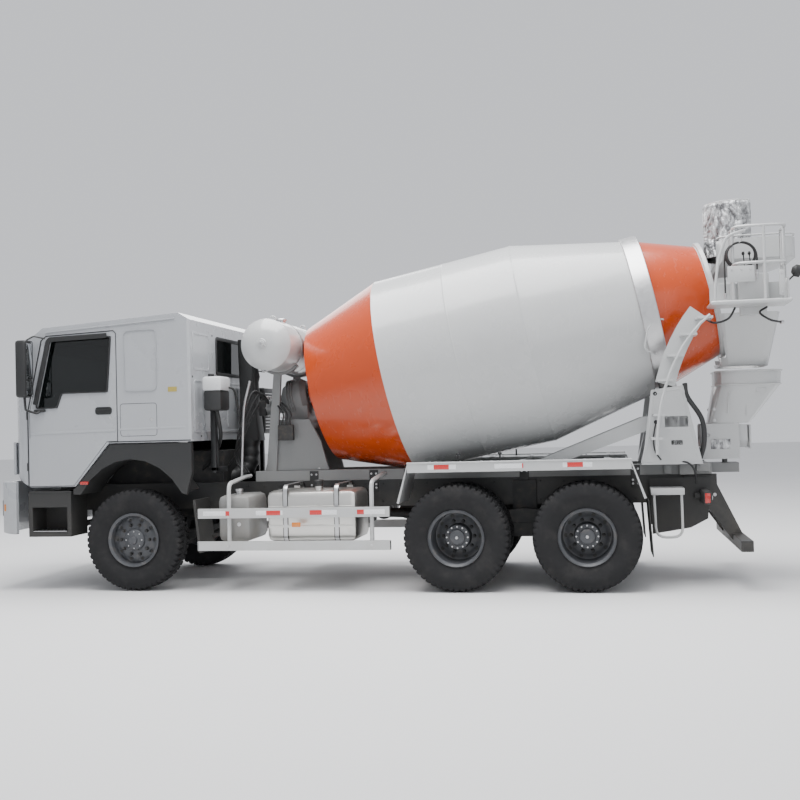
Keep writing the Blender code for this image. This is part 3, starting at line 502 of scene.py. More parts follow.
class Finish:
    """A material whose colour, roughness and relief are worked out by nodes."""

    def __init__(self, name, **constants):
        self.material = bpy.data.materials.new(name)
        self.material.use_nodes = True
        self.tree = self.material.node_tree
        self.shader = self.tree.nodes["Principled BSDF"]
        for socket, value in constants.items():
            self.set(socket.replace("_", " "), value)

    def feed(self, socket, value):
        if isinstance(value, Reading):
            self.tree.links.new(value.socket, socket)
        else:
            socket.default_value = value

    def set(self, name, value):
        self.feed(self.shader.inputs[name], value)

    def node(self, kind, settings=None, inputs=None, output=0):
        """Adds a node: its settings first, then the values or links of its inputs."""
        made = self.tree.nodes.new(kind)
        for key, value in (settings or {}).items():
            setattr(made, key, value)
        for key, value in (inputs or {}).items():
            self.feed(made.inputs[key], value)
        return Reading(self, made.outputs[output])

    def here(self):
        """The point's own place on the piece, in metres."""
        return self.node("ShaderNodeTexCoord", output="Object")

    def place(self):
        """The point's place along and round the surface."""
        return self.node("ShaderNodeUVMap", {"uv_map": "place"})

    def parts(self, vector):
        """The three numbers of a vector."""
        split = self.node("ShaderNodeSeparateXYZ", inputs={0: vector})
        return split, *(Reading(self, split.socket.node.outputs[k]) for k in (1, 2))

    def along(self, vector, direction):
        return self.node(
            "ShaderNodeVectorMath", {"operation": "DOT_PRODUCT"}, {0: vector, 1: tuple(direction)}, "Value"
        )

    def stretched(self, vector, scale):
        return self.node("ShaderNodeMapping", inputs={"Vector": vector, "Scale": scale})

    def clouds(self, vector, scale, detail=3.0, roughness=0.55):
        return self.node(
            "ShaderNodeTexNoise",
            inputs={"Vector": vector, "Scale": scale, "Detail": detail, "Roughness": roughness}
        )

    def cells(self, vector, scale, feature="F1"):
        return self.node("ShaderNodeTexVoronoi", {"feature": feature}, {"Vector": vector, "Scale": scale})

    def blend(self, share, first, second):
        """One colour or the other, by a share from 0 to 1."""
        made = self.tree.nodes.new("ShaderNodeMix")
        made.data_type = "RGBA"
        self.feed(made.inputs["Factor"], share)
        for name, value in ((6, first), (7, second)):
            self.feed(made.inputs[name], value if isinstance(value, Reading) else (*value, 1))
        return Reading(self, made.outputs[2])

    def relief(self, height, depth, strength=1.0, under=None):
        """Bumps of a depth in metres for a height from 0 to 1, laid over an earlier relief."""
        inputs = {"Height": height, "Distance": depth, "Strength": strength}
        if under is not None:
            inputs["Normal"] = under
        return self.node("ShaderNodeBump", inputs=inputs)


FINISHES = {}


def finish(make):
    """Keeps each finish once made, so that like pieces share it."""

    def kept(*choices):
        key = (make.__name__, *choices)
        if key not in FINISHES:
            FINISHES[key] = make(*choices)
        return FINISHES[key]

    return kept


DUST = (0.30, 0.265, 0.215)


def weathered(made, colour, gloss, dust_height=1.25, grime=0.5):
    """Paint with faint clouding, drip streaks, and road dust that thins out with height."""
    here = made.here()
    height = made.parts(here)[2]
    cloud = made.clouds(here, 2.2, 4.0)
    streak = made.clouds(made.stretched(here, (9.0, 9.0, 0.55)), 3.0, 4.0, 0.6)
    speck = made.clouds(here, 38.0, 5.0, 0.7)
    low = 1 - height.eased(0.25, dust_height)
    dust = (low * (0.25 + speck * 0.9) * cloud.eased(0.30, 0.70)) * grime
    film = (streak.eased(0.52, 0.74) * 0.10 + cloud.eased(0.45, 0.75) * 0.06) * grime
    tone = made.blend(film, colour, tuple(c * 0.55 for c in colour))
    made.set("Base Color", made.blend(dust, tone, DUST))
    made.set("Roughness", gloss + cloud * 0.08 + dust * 0.5)
    peel = made.clouds(here, 260.0, 2.0)
    made.set("Normal", made.relief(peel, 0.00022, 0.35))
    return made


@finish
def white_paint():
    made = Finish("white_lacquer", Coat_Weight=0.5, Coat_Roughness=0.08, IOR=1.5)
    return weathered(made, tuple(settings().body_white), 0.26, 1.3, 0.35).material


@finish
def silver_white_paint():
    made = Finish("cab_lacquer", Coat_Weight=0.6, Coat_Roughness=0.06, IOR=1.5)
    return weathered(made, tuple(settings().cab_white), 0.24, 1.5, 0.35).material


@finish
def grey_paint():
    made = Finish("grey_enamel", Coat_Weight=0.2, Coat_Roughness=0.2)
    return weathered(made, (0.20, 0.205, 0.205), 0.40, 1.6, 0.7).material


@finish
def black_paint():
    made = Finish("black_chassis_enamel")
    return weathered(made, (0.014, 0.015, 0.016), 0.42, 1.5, 0.35).material


@finish
def drum_paint():
    """White with an orange cone at each end, clouded, with faint dirty streaks."""
    made = Finish("drum_lacquer", Coat_Weight=0.35, Coat_Roughness=0.10, IOR=1.45)
    here = made.here()
    along = made.along(here, DRUM_AXIS) - float(DRUM_FRONT @ DRUM_AXIS)
    front = 1 - along.eased(0.898, 0.902)
    rear = along.eased(3.689, 3.690) * (1 - along.eased(4.449, 4.450))
    cloud = made.clouds(here, 1.7, 4.0)
    fine = made.clouds(here, 30.0, 4.0, 0.65)
    hue, pale = tuple(settings().drum_orange), tuple(settings().body_white)
    orange = made.blend(cloud, hue, tuple(c * 0.86 for c in hue))
    white = made.blend(cloud, tuple(min(1.0, c * 1.05) for c in pale), tuple(c * 0.94 for c in pale))
    paint = made.blend(front + rear, white, orange)
    streaks = made.clouds(made.stretched(here, (6.0, 6.0, 1.2)), 4.0, 4.0, 0.6).eased(0.58, 0.80)
    made.set("Base Color", made.blend(streaks * 0.10, paint, (0.38, 0.36, 0.32)))
    made.set("Roughness", 0.22 + cloud * 0.10 + streaks * 0.10)
    dents = made.clouds(here, 5.0, 2.0)
    made.set("Normal", made.relief(dents, 0.006, 0.35, made.relief(fine, 0.0003, 0.3)))
    return made.material


@finish
def black_plastic():
    """Moulded plastic with a fine leather grain, greyed by dust low down."""
    made = Finish("grained_plastic")
    here = made.here()
    grain = made.cells(here, 420.0)
    cloud = made.clouds(here, 5.0, 4.0)
    low = 1 - made.parts(here)[2].eased(0.4, 1.5)
    made.set("Base Color", made.blend(low * cloud * 0.12 + cloud * 0.02, (0.014, 0.015, 0.016), DUST))
    made.set("Roughness", 0.48 + cloud * 0.16 + low * 0.12)
    made.set("Normal", made.relief(grain, 0.0004, 0.45))
    return made.material


@finish
def cast_iron():
    """Rough castings in dark enamel, with rust in patches and dry mud."""
    made = Finish("sand_cast_iron")
    here = made.here()
    patch = made.clouds(here, 9.0, 6.0, 0.62)
    grain = made.clouds(here, 90.0, 4.0, 0.7)
    rust = patch.eased(0.56, 0.72) * grain.eased(0.35, 0.65)
    dark = made.blend(grain, (0.030, 0.031, 0.033), (0.055, 0.055, 0.055))
    tone = made.blend(rust * 0.35, dark, (0.16, 0.075, 0.035))
    made.set("Base Color", made.blend(patch.eased(0.4, 0.8) * 0.12, tone, DUST))
    made.set("Roughness", 0.50 + grain * 0.25)
    made.set("Metallic", 0.5 - rust * 0.4)
    made.set("Normal", made.relief(grain, 0.0016, 0.5))
    return made.material


@finish
def aluminium():
    """Rolled sheet metal, brushed along the truck, with water marks."""
    made = Finish("brushed_aluminium", Metallic=1.0)
    here = made.here()
    brushed = made.clouds(made.stretched(here, (3.0, 160.0, 160.0)), 2.0, 3.0, 0.6)
    marks = made.clouds(here, 7.0, 5.0, 0.6)
    tone = made.blend(brushed, (0.58, 0.57, 0.54), (0.72, 0.71, 0.68))
    made.set("Base Color", made.blend(marks.eased(0.55, 0.75) * 0.35, tone, (0.42, 0.40, 0.35)))
    made.set("Roughness", 0.24 + brushed * 0.16 + marks * 0.10)
    made.set("Normal", made.relief(brushed, 0.0003, 0.35, made.relief(marks, 0.004, 0.3)))
    return made.material


def mottled(name, scale, detail, tones, gloss, spread, rough=0.55, relief=None, **constants):
    """A finish that wavers between two tones, and gets rougher with them, over clouds of one size."""
    made = Finish(name, **constants)
    cloud = made.clouds(made.here(), scale, detail, rough)
    made.set("Base Color", made.blend(cloud, *tones))
    made.set("Roughness", gloss + cloud * spread)
    if relief:
        made.set("Normal", made.relief(cloud, relief, 0.3))
    return made.material


@finish
def bright_steel():
    """Machined or galvanised steel, worn bright."""
    tones = (0.46, 0.46, 0.47), (0.68, 0.68, 0.68)
    return mottled("bright_steel", 24.0, 5.0, tones, 0.26, 0.22, 0.65, 0.0006, Metallic=1.0)


@finish
def mirror_silver():
    tones = (0.80, 0.82, 0.84), (0.86, 0.88, 0.90)
    return mottled("mirror_silver", 14.0, 4.0, tones, 0.02, 0.05, Metallic=1.0)


@finish
def tyre_rubber():
    """Black rubber with moulded rings on its walls and grey dust in patches."""
    made = Finish("tyre_rubber", Specular_IOR_Level=0.35)
    here = made.here()
    round_it = made.parts(made.place())[1]
    cloud = made.clouds(here, 6.0, 5.0, 0.6)
    fine = made.clouds(here, 120.0, 4.0, 0.7)
    rings = (round_it * 260.0).wave()
    wall = (round_it - 0.5).size().eased(0.02, 0.06)
    tone = made.blend(fine, (0.008, 0.008, 0.009), (0.015, 0.015, 0.016))
    made.set("Base Color", made.blend(cloud.eased(0.45, 0.8) * 0.12, tone, (0.12, 0.11, 0.10)))
    made.set("Roughness", 0.72 + fine * 0.18)
    made.set("Normal", made.relief(fine, 0.0007, 0.45, made.relief(rings * wall, 0.0006, 0.5)))
    return made.material


@finish
def wheel_paint():
    """Grey enamelled steel with brake dust."""
    made = Finish("wheel_enamel", Coat_Weight=0.15, Coat_Roughness=0.25)
    here = made.here()
    cloud = made.clouds(here, 11.0, 5.0, 0.6)
    fine = made.clouds(here, 70.0, 4.0, 0.7)
    tone = made.blend(cloud, (0.045, 0.048, 0.054), (0.075, 0.078, 0.085))
    made.set("Base Color", made.blend(cloud.eased(0.5, 0.75) * fine * 0.5, tone, (0.16, 0.13, 0.10)))
    made.set("Roughness", 0.38 + fine * 0.25)
    made.set("Metallic", 0.3 - cloud * 0.2)
    made.set("Normal", made.relief(fine, 0.0004, 0.35))
    return made.material


@finish
def window_glass():
    """Tinted safety glass with a breath of dust smeared over it."""
    made = Finish("tinted_glass", IOR=1.46, Transmission_Weight=0.92)
    smear = made.clouds(made.here(), 3.0, 5.0, 0.6)
    made.set("Base Color", made.blend(smear, (0.050, 0.060, 0.060), (0.035, 0.045, 0.045)))
    made.set("Roughness", 0.01 + smear.eased(0.55, 0.8) * 0.05)
    return made.material


@finish
def lens(hue):
    """A moulded lamp lens: clear plastic in its colour, with prism ribs."""
    colours = {
        "red": ((0.50, 0.008, 0.006), (0.70, 0.03, 0.02)),
        "amber": ((0.70, 0.19, 0.01), (0.85, 0.30, 0.03)),
        "clear": ((0.72, 0.75, 0.78), (0.90, 0.92, 0.94)),
    }
    made = Finish(f"{hue}_lens", Transmission_Weight=0.35, Coat_Weight=0.8, Coat_Roughness=0.03)
    here = made.here()
    ribs = made.cells(here, 130.0)
    made.set("Base Color", made.blend(ribs, *colours[hue]))
    made.set("Roughness", 0.10 + ribs * 0.12)
    made.set("Normal", made.relief(ribs, 0.0012, 0.5))
    return made.material


@finish
def reflective_tape():
    """Retroreflective tape in turns of red and white, with its honeycomb of cells."""
    made = Finish("red_and_white_tape", Coat_Weight=0.6, Coat_Roughness=0.1)
    here = made.here()
    x, y, _ = made.parts(here)
    turn = ((x + y * 0.5) % 0.46) > 0.30
    cells = made.cells(here, 230.0, "DISTANCE_TO_EDGE")
    white = made.blend(cells.eased(0.0, 0.12), (0.55, 0.56, 0.58), (0.82, 0.83, 0.84))
    red = made.blend(cells.eased(0.0, 0.12), (0.36, 0.010, 0.012), (0.62, 0.022, 0.02))
    made.set("Base Color", made.blend(turn, white, red))
    made.set("Roughness", 0.30 - cells * 0.2)
    made.set("Normal", made.relief(cells, 0.0003, 0.4))
    return made.material


@finish
def yellow_plate():
    tones = (0.42, 0.33, 0.07), (0.30, 0.24, 0.06)
    return mottled("yellow_blank_plate", 30.0, 5.0, tones, 0.35, 0.2, 0.6, Coat_Weight=0.3)


@finish
def blank_plate():
    tones = (0.66, 0.67, 0.68), (0.56, 0.57, 0.58)
    return mottled("blank_plate", 40.0, 4.0, tones, 0.30, 0.2, Coat_Weight=0.3)


@finish
def hose_rubber():
    """Ribbed black hose."""
    made = Finish("hose_rubber")
    here = made.here()
    along = made.parts(made.place())[0]
    ribs = (along * 420.0).wave()
    cloud = made.clouds(here, 18.0, 4.0)
    made.set("Base Color", made.blend(cloud, (0.014, 0.014, 0.015), (0.030, 0.030, 0.030)))
    made.set("Roughness", 0.45 + cloud * 0.2)
    made.set("Normal", made.relief(ribs, 0.0004, 0.4))
    return made.material


@finish
def silver_film():
    """Wrapping film pulled round a spout, in sharp creases, with painted shade in their hollows and painted
    highlights on their crests.
    """
    made = Finish("silvery_wrapping_film", Coat_Weight=0.4, Coat_Roughness=0.12)
    here = made.here()
    crease = made.clouds(made.stretched(here, (1.0, 1.0, 0.45)), 16.0, 5.0, 0.65)
    fold = made.cells(here, 13.0, "DISTANCE_TO_EDGE")
    # Painted shade and highlight: the film is dark in the hollows of its creases and pale on their crests, by
    # the same noise as its relief.
    tone = made.blend(crease.eased(0.35, 0.65), (0.10, 0.10, 0.105), (0.62, 0.63, 0.64))
    made.set("Base Color", tone)
    made.set("Metallic", 0.35 + crease * 0.5)
    made.set("Roughness", 0.20 + crease * 0.25)
    made.set("Normal", made.relief(crease, 0.03, 0.8, made.relief(fold, 0.012, 0.6)))
    return made.material


THREADS = 2400.0


@finish
def seat_cloth():
    """Woven seat cloth: two sets of threads, a lighter fleck and a worn sheen."""
    made = Finish("woven_seat_cloth", Sheen_Weight=0.3, Sheen_Roughness=0.4)
    x, y, z = made.parts(made.here())
    warp = (y * THREADS).wave()
    weft = ((x + z) * THREADS).wave()
    fleck = made.clouds(made.here(), 90.0, 4.0, 0.7)
    tone = made.blend(fleck.eased(0.4, 0.65), (0.050, 0.052, 0.060), (0.105, 0.108, 0.120))
    made.set("Base Color", made.blend(warp * weft * 0.25 + 0.25, tone, (0.16, 0.16, 0.17)))
    made.set("Roughness", 0.80 + fleck * 0.12)
    made.set("Normal", made.relief(warp * 0.25 + weft * 0.25 + 0.5, 0.0004, 0.6))
    return made.material


@finish
def trim_plastic():
    """Light grey cab trim."""
    made = Finish("grey_trim")
    here = made.here()
    grain = made.cells(here, 380.0)
    cloud = made.clouds(here, 4.0, 3.0)
    made.set("Base Color", made.blend(cloud, (0.17, 0.17, 0.175), (0.21, 0.21, 0.21)))
    made.set("Roughness", 0.55 + cloud * 0.12)
    made.set("Normal", made.relief(grain, 0.0004, 0.4))
    return made.material


@finish
def floor_paint():
    return mottled("pale_floor", 0.35, 3.0, ((0.74, 0.74, 0.74), (0.70, 0.70, 0.70)), 0.75, 0.1)


# Sizes and colours that a user may change


class MixerTruckSettings(bpy.types.PropertyGroup):
    """The colours and the small sizes of the truck's fine pieces."""

    body_white: FloatVectorProperty(
        name="Body white", description="Colour of the mixer's white lacquer", subtype="COLOR",
        default=(0.47, 0.478, 0.478), min=0, max=1,
    )
    cab_white: FloatVectorProperty(
        name="Cab white", description="Colour of the cab's lacquer", subtype="COLOR",
        default=(0.36, 0.372, 0.39), min=0, max=1,
    )
    drum_orange: FloatVectorProperty(
        name="Drum orange", description="Colour of the drum's two end cones", subtype="COLOR",
        default=(0.47, 0.050, 0.002), min=0, max=1,
    )
    tread_depth: FloatProperty(
        name="Tread depth", description="Depth of the grooves between tread blocks",
        default=0.016, min=0.002, max=0.03, subtype="DISTANCE", unit="LENGTH",
    )
    tread_blocks: IntProperty(
        name="Tread blocks", description="Blocks round one tyre", default=52, min=20, max=80
    )
    wheel_nuts: IntProperty(name="Wheel nuts", description="Nuts on one wheel", default=10, min=6, max=12)
    weld_height: FloatProperty(
        name="Weld height", description="Height of the drum's seam welds",
        default=0.004, min=0.001, max=0.01, subtype="DISTANCE", unit="LENGTH",
    )
    edge_round: FloatProperty(
        name="Edge round", description="Round on the edges of the sheet metal",
        default=0.006, min=0.001, max=0.02, subtype="DISTANCE", unit="LENGTH",
    )


def settings():
    return bpy.context.scene.mixer_truck


# Stage

CAMERA_PLACE = (AXLE_X - 5.125, 12.186, 1.758)
CAMERA_FORWARD = Vector((0.1839, -0.9827, 0.0240))
CAMERA_ROLL = math.radians(1.55)
CAMERA_LENS = 47.57
FLOOR_HALF = 60.0


def build_floor():
    """A flat sheet of floor at the height of the tyres' lowest points."""
    line = np.linspace(-FLOOR_HALF, FLOOR_HALF, 9)
    x, y = np.meshgrid(line, line, indexing="ij")
    surface = lattice(np.stack([x, y, np.full_like(x, -0.002)], -1), round_columns=False)
    mesh = mesh_from("studio_floor", surface)
    floor = bpy.data.objects.new("studio_floor", mesh)
    if mesh.polygons[0].normal.z < 0:
        mesh.flip_normals()
    mesh.materials.append(floor_paint())
    bpy.context.scene.collection.objects.link(floor)


def add_camera():
    """The camera looks from the truck's left, a little behind its middle, with a slight roll."""
    data = bpy.data.cameras.new("side_camera")
    data.lens, data.sensor_width = CAMERA_LENS, 36
    data.clip_end = 300
    camera = bpy.data.objects.new("side_camera", data)
    level = CAMERA_FORWARD.cross(Vector((0, 0, 1))).normalized()
    upright = level.cross(CAMERA_FORWARD)
    right = level * math.cos(CAMERA_ROLL) - upright * math.sin(CAMERA_ROLL)
    above = level * math.sin(CAMERA_ROLL) + upright * math.cos(CAMERA_ROLL)
    camera.matrix_world = Matrix.Translation(CAMERA_PLACE) @ Matrix(
        (right, above, -CAMERA_FORWARD)
    ).transposed().to_4x4()
    bpy.context.scene.collection.objects.link(camera)
    bpy.context.scene.camera = camera


def add_soft_light(name, place, size, power):
    """A large square lamp that faces the truck's middle."""
    data = bpy.data.lights.new(name, "AREA")
    data.shape, data.size, data.energy = "SQUARE", size, power
    lamp = bpy.data.objects.new(name, data)
    lamp.location = place
    lamp.rotation_euler = (Vector((0, 0, 1.6)) - Vector(place)).to_track_quat("-Z", "Y").to_euler()
    bpy.context.scene.collection.objects.link(lamp)


def light_room():
    """A pale room: white from above and softer from the sides, with three soft lamps."""
    world = bpy.data.worlds.new("pale_room")
    bpy.context.scene.world = world
    world.use_nodes = True
    world.node_tree.nodes["Background"].inputs["Color"].default_value = (0.93, 0.95, 1.0, 1)
    world.node_tree.nodes["Background"].inputs["Strength"].default_value = 0.88
    add_soft_light("overhead_light", (0, 1.5, 11), 9, 2900)
    add_soft_light("front_side_light", (-7, 11, 6), 7, 170)
    add_soft_light("far_side_light", (6, -11, 7), 7, 500)


class MIXER_OT_stage(bpy.types.Operator):
    """Lays the floor and sets the camera and the soft lights"""

    bl_idname = "mixer.stage"
    bl_label = "Stage"

    def execute(self, context):
        build_floor()
        add_camera()
        light_room()
        return {"FINISHED"}


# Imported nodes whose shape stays

SKINS = (
    (
        white_paint, 0.005,
        (
            "side_guard_left", "side_guard_right", "rear_fender_left", "rear_fender_right", "rear_stand",
            "discharge_hopper", "ladder", "chute_swivel", "chute_basin", "chute_main", "chute_flap"
        )
    ),
    (silver_white_paint, 0.010, ("cab_shell", "door_left", "door_right", "front_panel", "front_bumper")),
    (white_paint, 0.003, ("feed_hopper", "platform")),
    (grey_paint, 0.004, ("subframe", "front_stand", "drum_gearbox", "hydraulic_tank")),
    (black_paint, 0.004, ("chassis_frame", "rear_bumper")),
    (
        black_plastic, 0.006,
        (
            "cab_steps", "front_mudguards", "battery_box", "air_intake", "wheel_arch_left",
            "wheel_arch_right", "dashboard", "mirror_left", "mirror_right", "steering_wheel"
        )
    ),
    (
        cast_iron, 0.005,
        (
            "engine", "front_axle", "drive_axle_front", "drive_axle_rear", "bogie_suspension",
            "knuckle_left", "knuckle_right", "roller_left", "roller_right"
        )
    ),
    (aluminium, 0.004, ("fuel_tank",)), (white_paint, 0.004, ("water_tank",))
)
GLAZED = ("windscreen", "door_glass_left", "door_glass_right")
PLAIN_EDGE = 0.006


class MIXER_OT_skins(bpy.types.Operator):
    """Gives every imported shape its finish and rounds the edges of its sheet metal"""

    bl_idname = "mixer.skins"
    bl_label = "Body skins"

    def execute(self, context):
        for paint, width, nodes in SKINS:
            for node in nodes:
                skin_of(node, paint(), width * settings().edge_round / PLAIN_EDGE)
        for node in GLAZED:
            pane = frame["nodes"][node]
            pane.data.materials.clear()
            pane.data.materials.append(window_glass())
        return {"FINISHED"}


# Wheels

NUT_CIRCLE = 0.1675
TREAD_HALF = 0.118
TREAD_CROWN = 0.006
BEAD = (0.112, 0.2865)


def tyre_profile():
    """A tyre's section: the bead, the bulged wall, the round shoulder and the crowned tread."""
    wall = smooth_path(
        [
            BEAD, (0.120, 0.315), (0.1575, 0.425), (0.152, 0.500), (0.137, 0.545),
            (TREAD_HALF, TYRE_RADIUS - TREAD_CROWN)
        ],
        6
    )
    along = np.linspace(TREAD_HALF, -TREAD_HALF, 31)[1:-1]
    tread = np.stack([along, TYRE_RADIUS - TREAD_CROWN * (along / TREAD_HALF) ** 2], -1)
    return np.concatenate([wall, tread, (wall * (-1, 1))[::-1]])


def cut_tread(along, radius, angle):
    """Sinks the grooves: two that zigzag round the tyre, and one across each shoulder between two blocks."""
    blocks, depth = settings().tread_blocks, settings().tread_depth
    phase = angle * blocks / math.tau
    zigzag = 0.012 * np.abs((phase % 1) * 2 - 1)
    ribs = np.abs(np.abs(along) - 0.034 - zigzag) < 0.0055
    lugs = ((phase + 0.5 * (along > 0) + np.abs(along) * 2.0) % 1 < 0.34) & (np.abs(along) > 0.046)
    fade = np.clip((radius - 0.500) / 0.035, 0, 1)
    return along, radius - depth * fade * (ribs | lugs)


def build_tyre(name, centre, sign, body, stands_for):
    surface = turned(
        tyre_profile(), centre, (0, sign, 0), settings().tread_blocks * 6, closed=True, ripple=cut_tread
    )
    return piece(name, surface, body, tyre_rubber(), "tyre_rubber", stands_for, sharp=50)


def sink_hand_holes(along, radius, angle):
    """Presses ten round hollows into a wheel's disc."""
    centre = 0.222
    turn = (angle * 10 / math.tau + 0.5) % 1 - 0.5
    distance = np.hypot(radius - centre, turn * centre * math.tau / 10)
    hollow = np.clip(1.25 - distance / 0.022, 0, 1)
    on_disc = (radius > 0.19) & (radius < 0.250) & (along > 0.02)
    return along - 0.022 * hollow * on_disc, radius


def wheel_nuts(centre, sign, along, circle_radius):
    """A ring of nuts on studs with round washers."""
    centre = np.asarray(centre, float)
    made = []
    for _, x, z in ring_round(circle_radius, settings().wheel_nuts):
        foot = centre + (x, sign * along, z)
        made.append(turned([(0, 0.021), (0.003, 0.021)], foot, (0, sign, 0), 16))
        made.append(hexagon(foot + (0, sign * 0.003, 0), (0, sign, 0), 0.0185, 0.022))
        made.append(turned([(0.024, 0.011), (0.034, 0.0105), (0.036, 0.008)], foot, (0, sign, 0), 10))
    return together(made)


def build_front_wheel(name, sign):
    """The steered wheel: a disc that stands out to its hub, with pressed hand holes that black discs fill as
    painted shade, and a rolled rim.
    """
    centre = at(0, sign * FRONT_WHEEL_Y, WHEEL_Z)
    body = f"wheel_front_{name}"
    build_tyre(f"front_tyre_{name}", centre, sign, body, (f"tyre_front_{name}",))
    disc = [(0.155, 0.001), (0.155, 0.030), (0.151, 0.044), (0.132, 0.052), (0.124, 0.070), (0.117, 0.078),
            (0.110, 0.104), (0.102, 0.114), (0.078, 0.121), (0.072, 0.135)]
    face = [(0.071 - 0.022 * k**1.6, 0.135 + 0.118 * k) for k in np.linspace(0.05, 1, 22)]
    barrel = [
        (0.046, 0.259), (0.105, 0.2625), (0.120, 0.268), (0.127, 0.284), (0.134, 0.2945), (0.132, 0.2985),
        (0.1215, 0.2985), (0.116, 0.2845), (-0.116, 0.2845), (-0.1215, 0.2985), (-0.134, 0.2975),
        (-0.12, 0.262), (0.0, 0.255), (0.0, 0.205), (-0.128, 0.205), (-0.128, 0.055), (0.10, 0.055),
        (0.10, 0.001)
    ]
    rim = turned([*disc, *face, *barrel], centre, (0, sign, 0), 120, ripple=sink_hand_holes)
    piece(
        f"front_wheel_disc_{name}", rim, body, wheel_paint(), "wheel_paint", (f"rim_front_{name}",),
        merge=1e-5
    )
    piece(
        f"front_wheel_nuts_{name}", wheel_nuts(centre, sign, 0.069, NUT_CIRCLE), body, cast_iron(),
        "wheel_paint"
    )
    # Painted shade: black discs sit in the pressed hollows where the hand holes would open onto the dark behind
    # the disc.
    holes = together(
        turned([(0.036, 0.019), (0.0485, 0.0185)], centre + (x, 0, z), (0, sign, 0), 18)
        for _, x, z in ring_round(0.222, 10)
    )
    piece(f"front_hand_holes_{name}", holes, body, black_plastic())
    cap_bolts = together(
        hexagon(centre + (x, sign * 0.109, z), (0, sign, 0), 0.008, 0.008) for _, x,
        z in ring_round(0.092, 8)
    )
    piece(f"front_hub_bolts_{name}", cap_bolts, body, bright_steel())


def build_twin_wheel(place, station, name, sign):
    """A pair of driven wheels on one hub: two tyres, a deep dish with a rolled rim and the planetary hub."""
    centre = at(station, sign * TWIN_Y, WHEEL_Z)
    body = f"wheel_drive_{place}_{name}"
    tag = f"{place}_{name}"
    for where, offset in (("outer", TWIN_OFFSET), ("inner", -TWIN_OFFSET)):
        stands_for = (f"twin_wheel_{tag}",) if where == "outer" else ()
        build_tyre(f"{where}_tyre_{tag}", centre + (0, sign * offset, 0), sign, body, stands_for)
    hub = [(0.235, 0.001), (0.235, 0.050), (0.230, 0.070), (0.222, 0.080), (0.194, 0.086), (0.188, 0.098),
           (0.184, 0.112), (0.176, 0.128), (0.150, 0.134), (0.060, 0.136), (0.044, 0.140), (0.040, 0.190)]
    dish = [(0.036, 0.205), (0.026, 0.235), (0.030, 0.252), (0.060, 0.258), (0.262, 0.2625), (0.278, 0.268),
            (0.288, 0.284), (0.300, 0.296), (0.304, 0.2985), (0.296, 0.3005), (0.286, 0.2865)]
    back = [(-0.286, 0.2865), (-0.304, 0.2985), (-0.285, 0.262), (-0.03, 0.255), (-0.03, 0.215),
            (-0.27, 0.215), (-0.27, 0.082), (0.17, 0.082), (0.17, 0.001)]
    rim = turned([*hub, *dish, *back], centre, (0, sign, 0), 96)
    piece(f"wheel_dish_{tag}", rim, body, wheel_paint(), "wheel_paint", merge=1e-5)
    piece(
        f"wheel_nuts_{tag}", wheel_nuts(centre, sign, 0.040, NUT_CIRCLE), body, cast_iron(), "wheel_paint"
    )
    # Painted shade: black discs on the dish stand for the dark seen through its hand holes.
    holes = together(
        turned([(0.020, 0.021), (0.034, 0.0205)], centre + (x, 0, z), (0, sign, 0), 18)
        for _, x, z in ring_round(0.222, 10)
    )
    piece(f"hand_holes_{tag}", holes, body, black_plastic())
    bolts = together(
        hexagon(centre + (x, sign * 0.184, z), (0, sign, 0), 0.010, 0.010) for _, x,
        z in ring_round(0.112, 12)
    )
    plug = hexagon(centre + (0, sign * 0.235, 0), (0, sign, 0), 0.018, 0.012)
    piece(f"hub_bolts_{tag}", bolts + plug, body, bright_steel())


class MIXER_OT_wheels(bpy.types.Operator):
    """Makes the two steered wheels and the four pairs of driven wheels"""

    bl_idname = "mixer.wheels"
    bl_label = "Wheels"

    def execute(self, context):
        for name, sign in SIDES:
            build_front_wheel(name, sign)
            for place, station in DRIVE_STATIONS:
                build_twin_wheel(place, station, name, sign)
        return {"FINISHED"}


# Drum

DRUM_STEPS = 168


def drum_radius(t):
    """The shell's outer radius at a distance along the axis, from the four cones it is rolled in."""
    return np.interp(t, (0.0, 0.90, 2.50, 3.69, 3.87, 4.46), (0.80, 1.13, 1.14, 0.875, 0.83, 0.62))


def drum_profile():
    """The shell from its front head round the outside to the mouth and back along the inside."""
    bead = settings().weld_height
    t = np.concatenate([
        [0.0, 0.006],
        *[centre + np.linspace(-0.016, 0.016, 5) for centre in (0.90, 1.72, 2.50)],
        [3.69, 3.87, 4.44, 4.455],
    ])
    outside = drum_radius(t)
    for centre in (0.90, 1.72, 2.50):
        outside += bead * np.clip(1 - np.abs(t - centre) / 0.012, 0, 1)
    head = [
        (-0.185, 0.001), (-0.185, 0.165), (-0.180, 0.170), (-0.155, 0.170), (-0.150, 0.165),
        (-0.150, 0.120), (-0.100, 0.122), (-0.078, 0.150), (-0.066, 0.300), (-0.055, 0.450),
        (-0.030, 0.640), (-0.012, 0.740)
    ]
    mouth = [
        (4.460, 0.625), (4.462, 0.650), (4.468, 0.655), (4.504, 0.655), (4.510, 0.650), (4.510, 0.604),
        (4.505, 0.600)
    ]
    inside = [(4.44, 0.60), (3.78, 0.815), (2.50, 1.12), (0.90, 1.11), (0.03, 0.78), (0.0, 0.001)]
    return [*head, *zip(t, outside), *mouth, *inside]


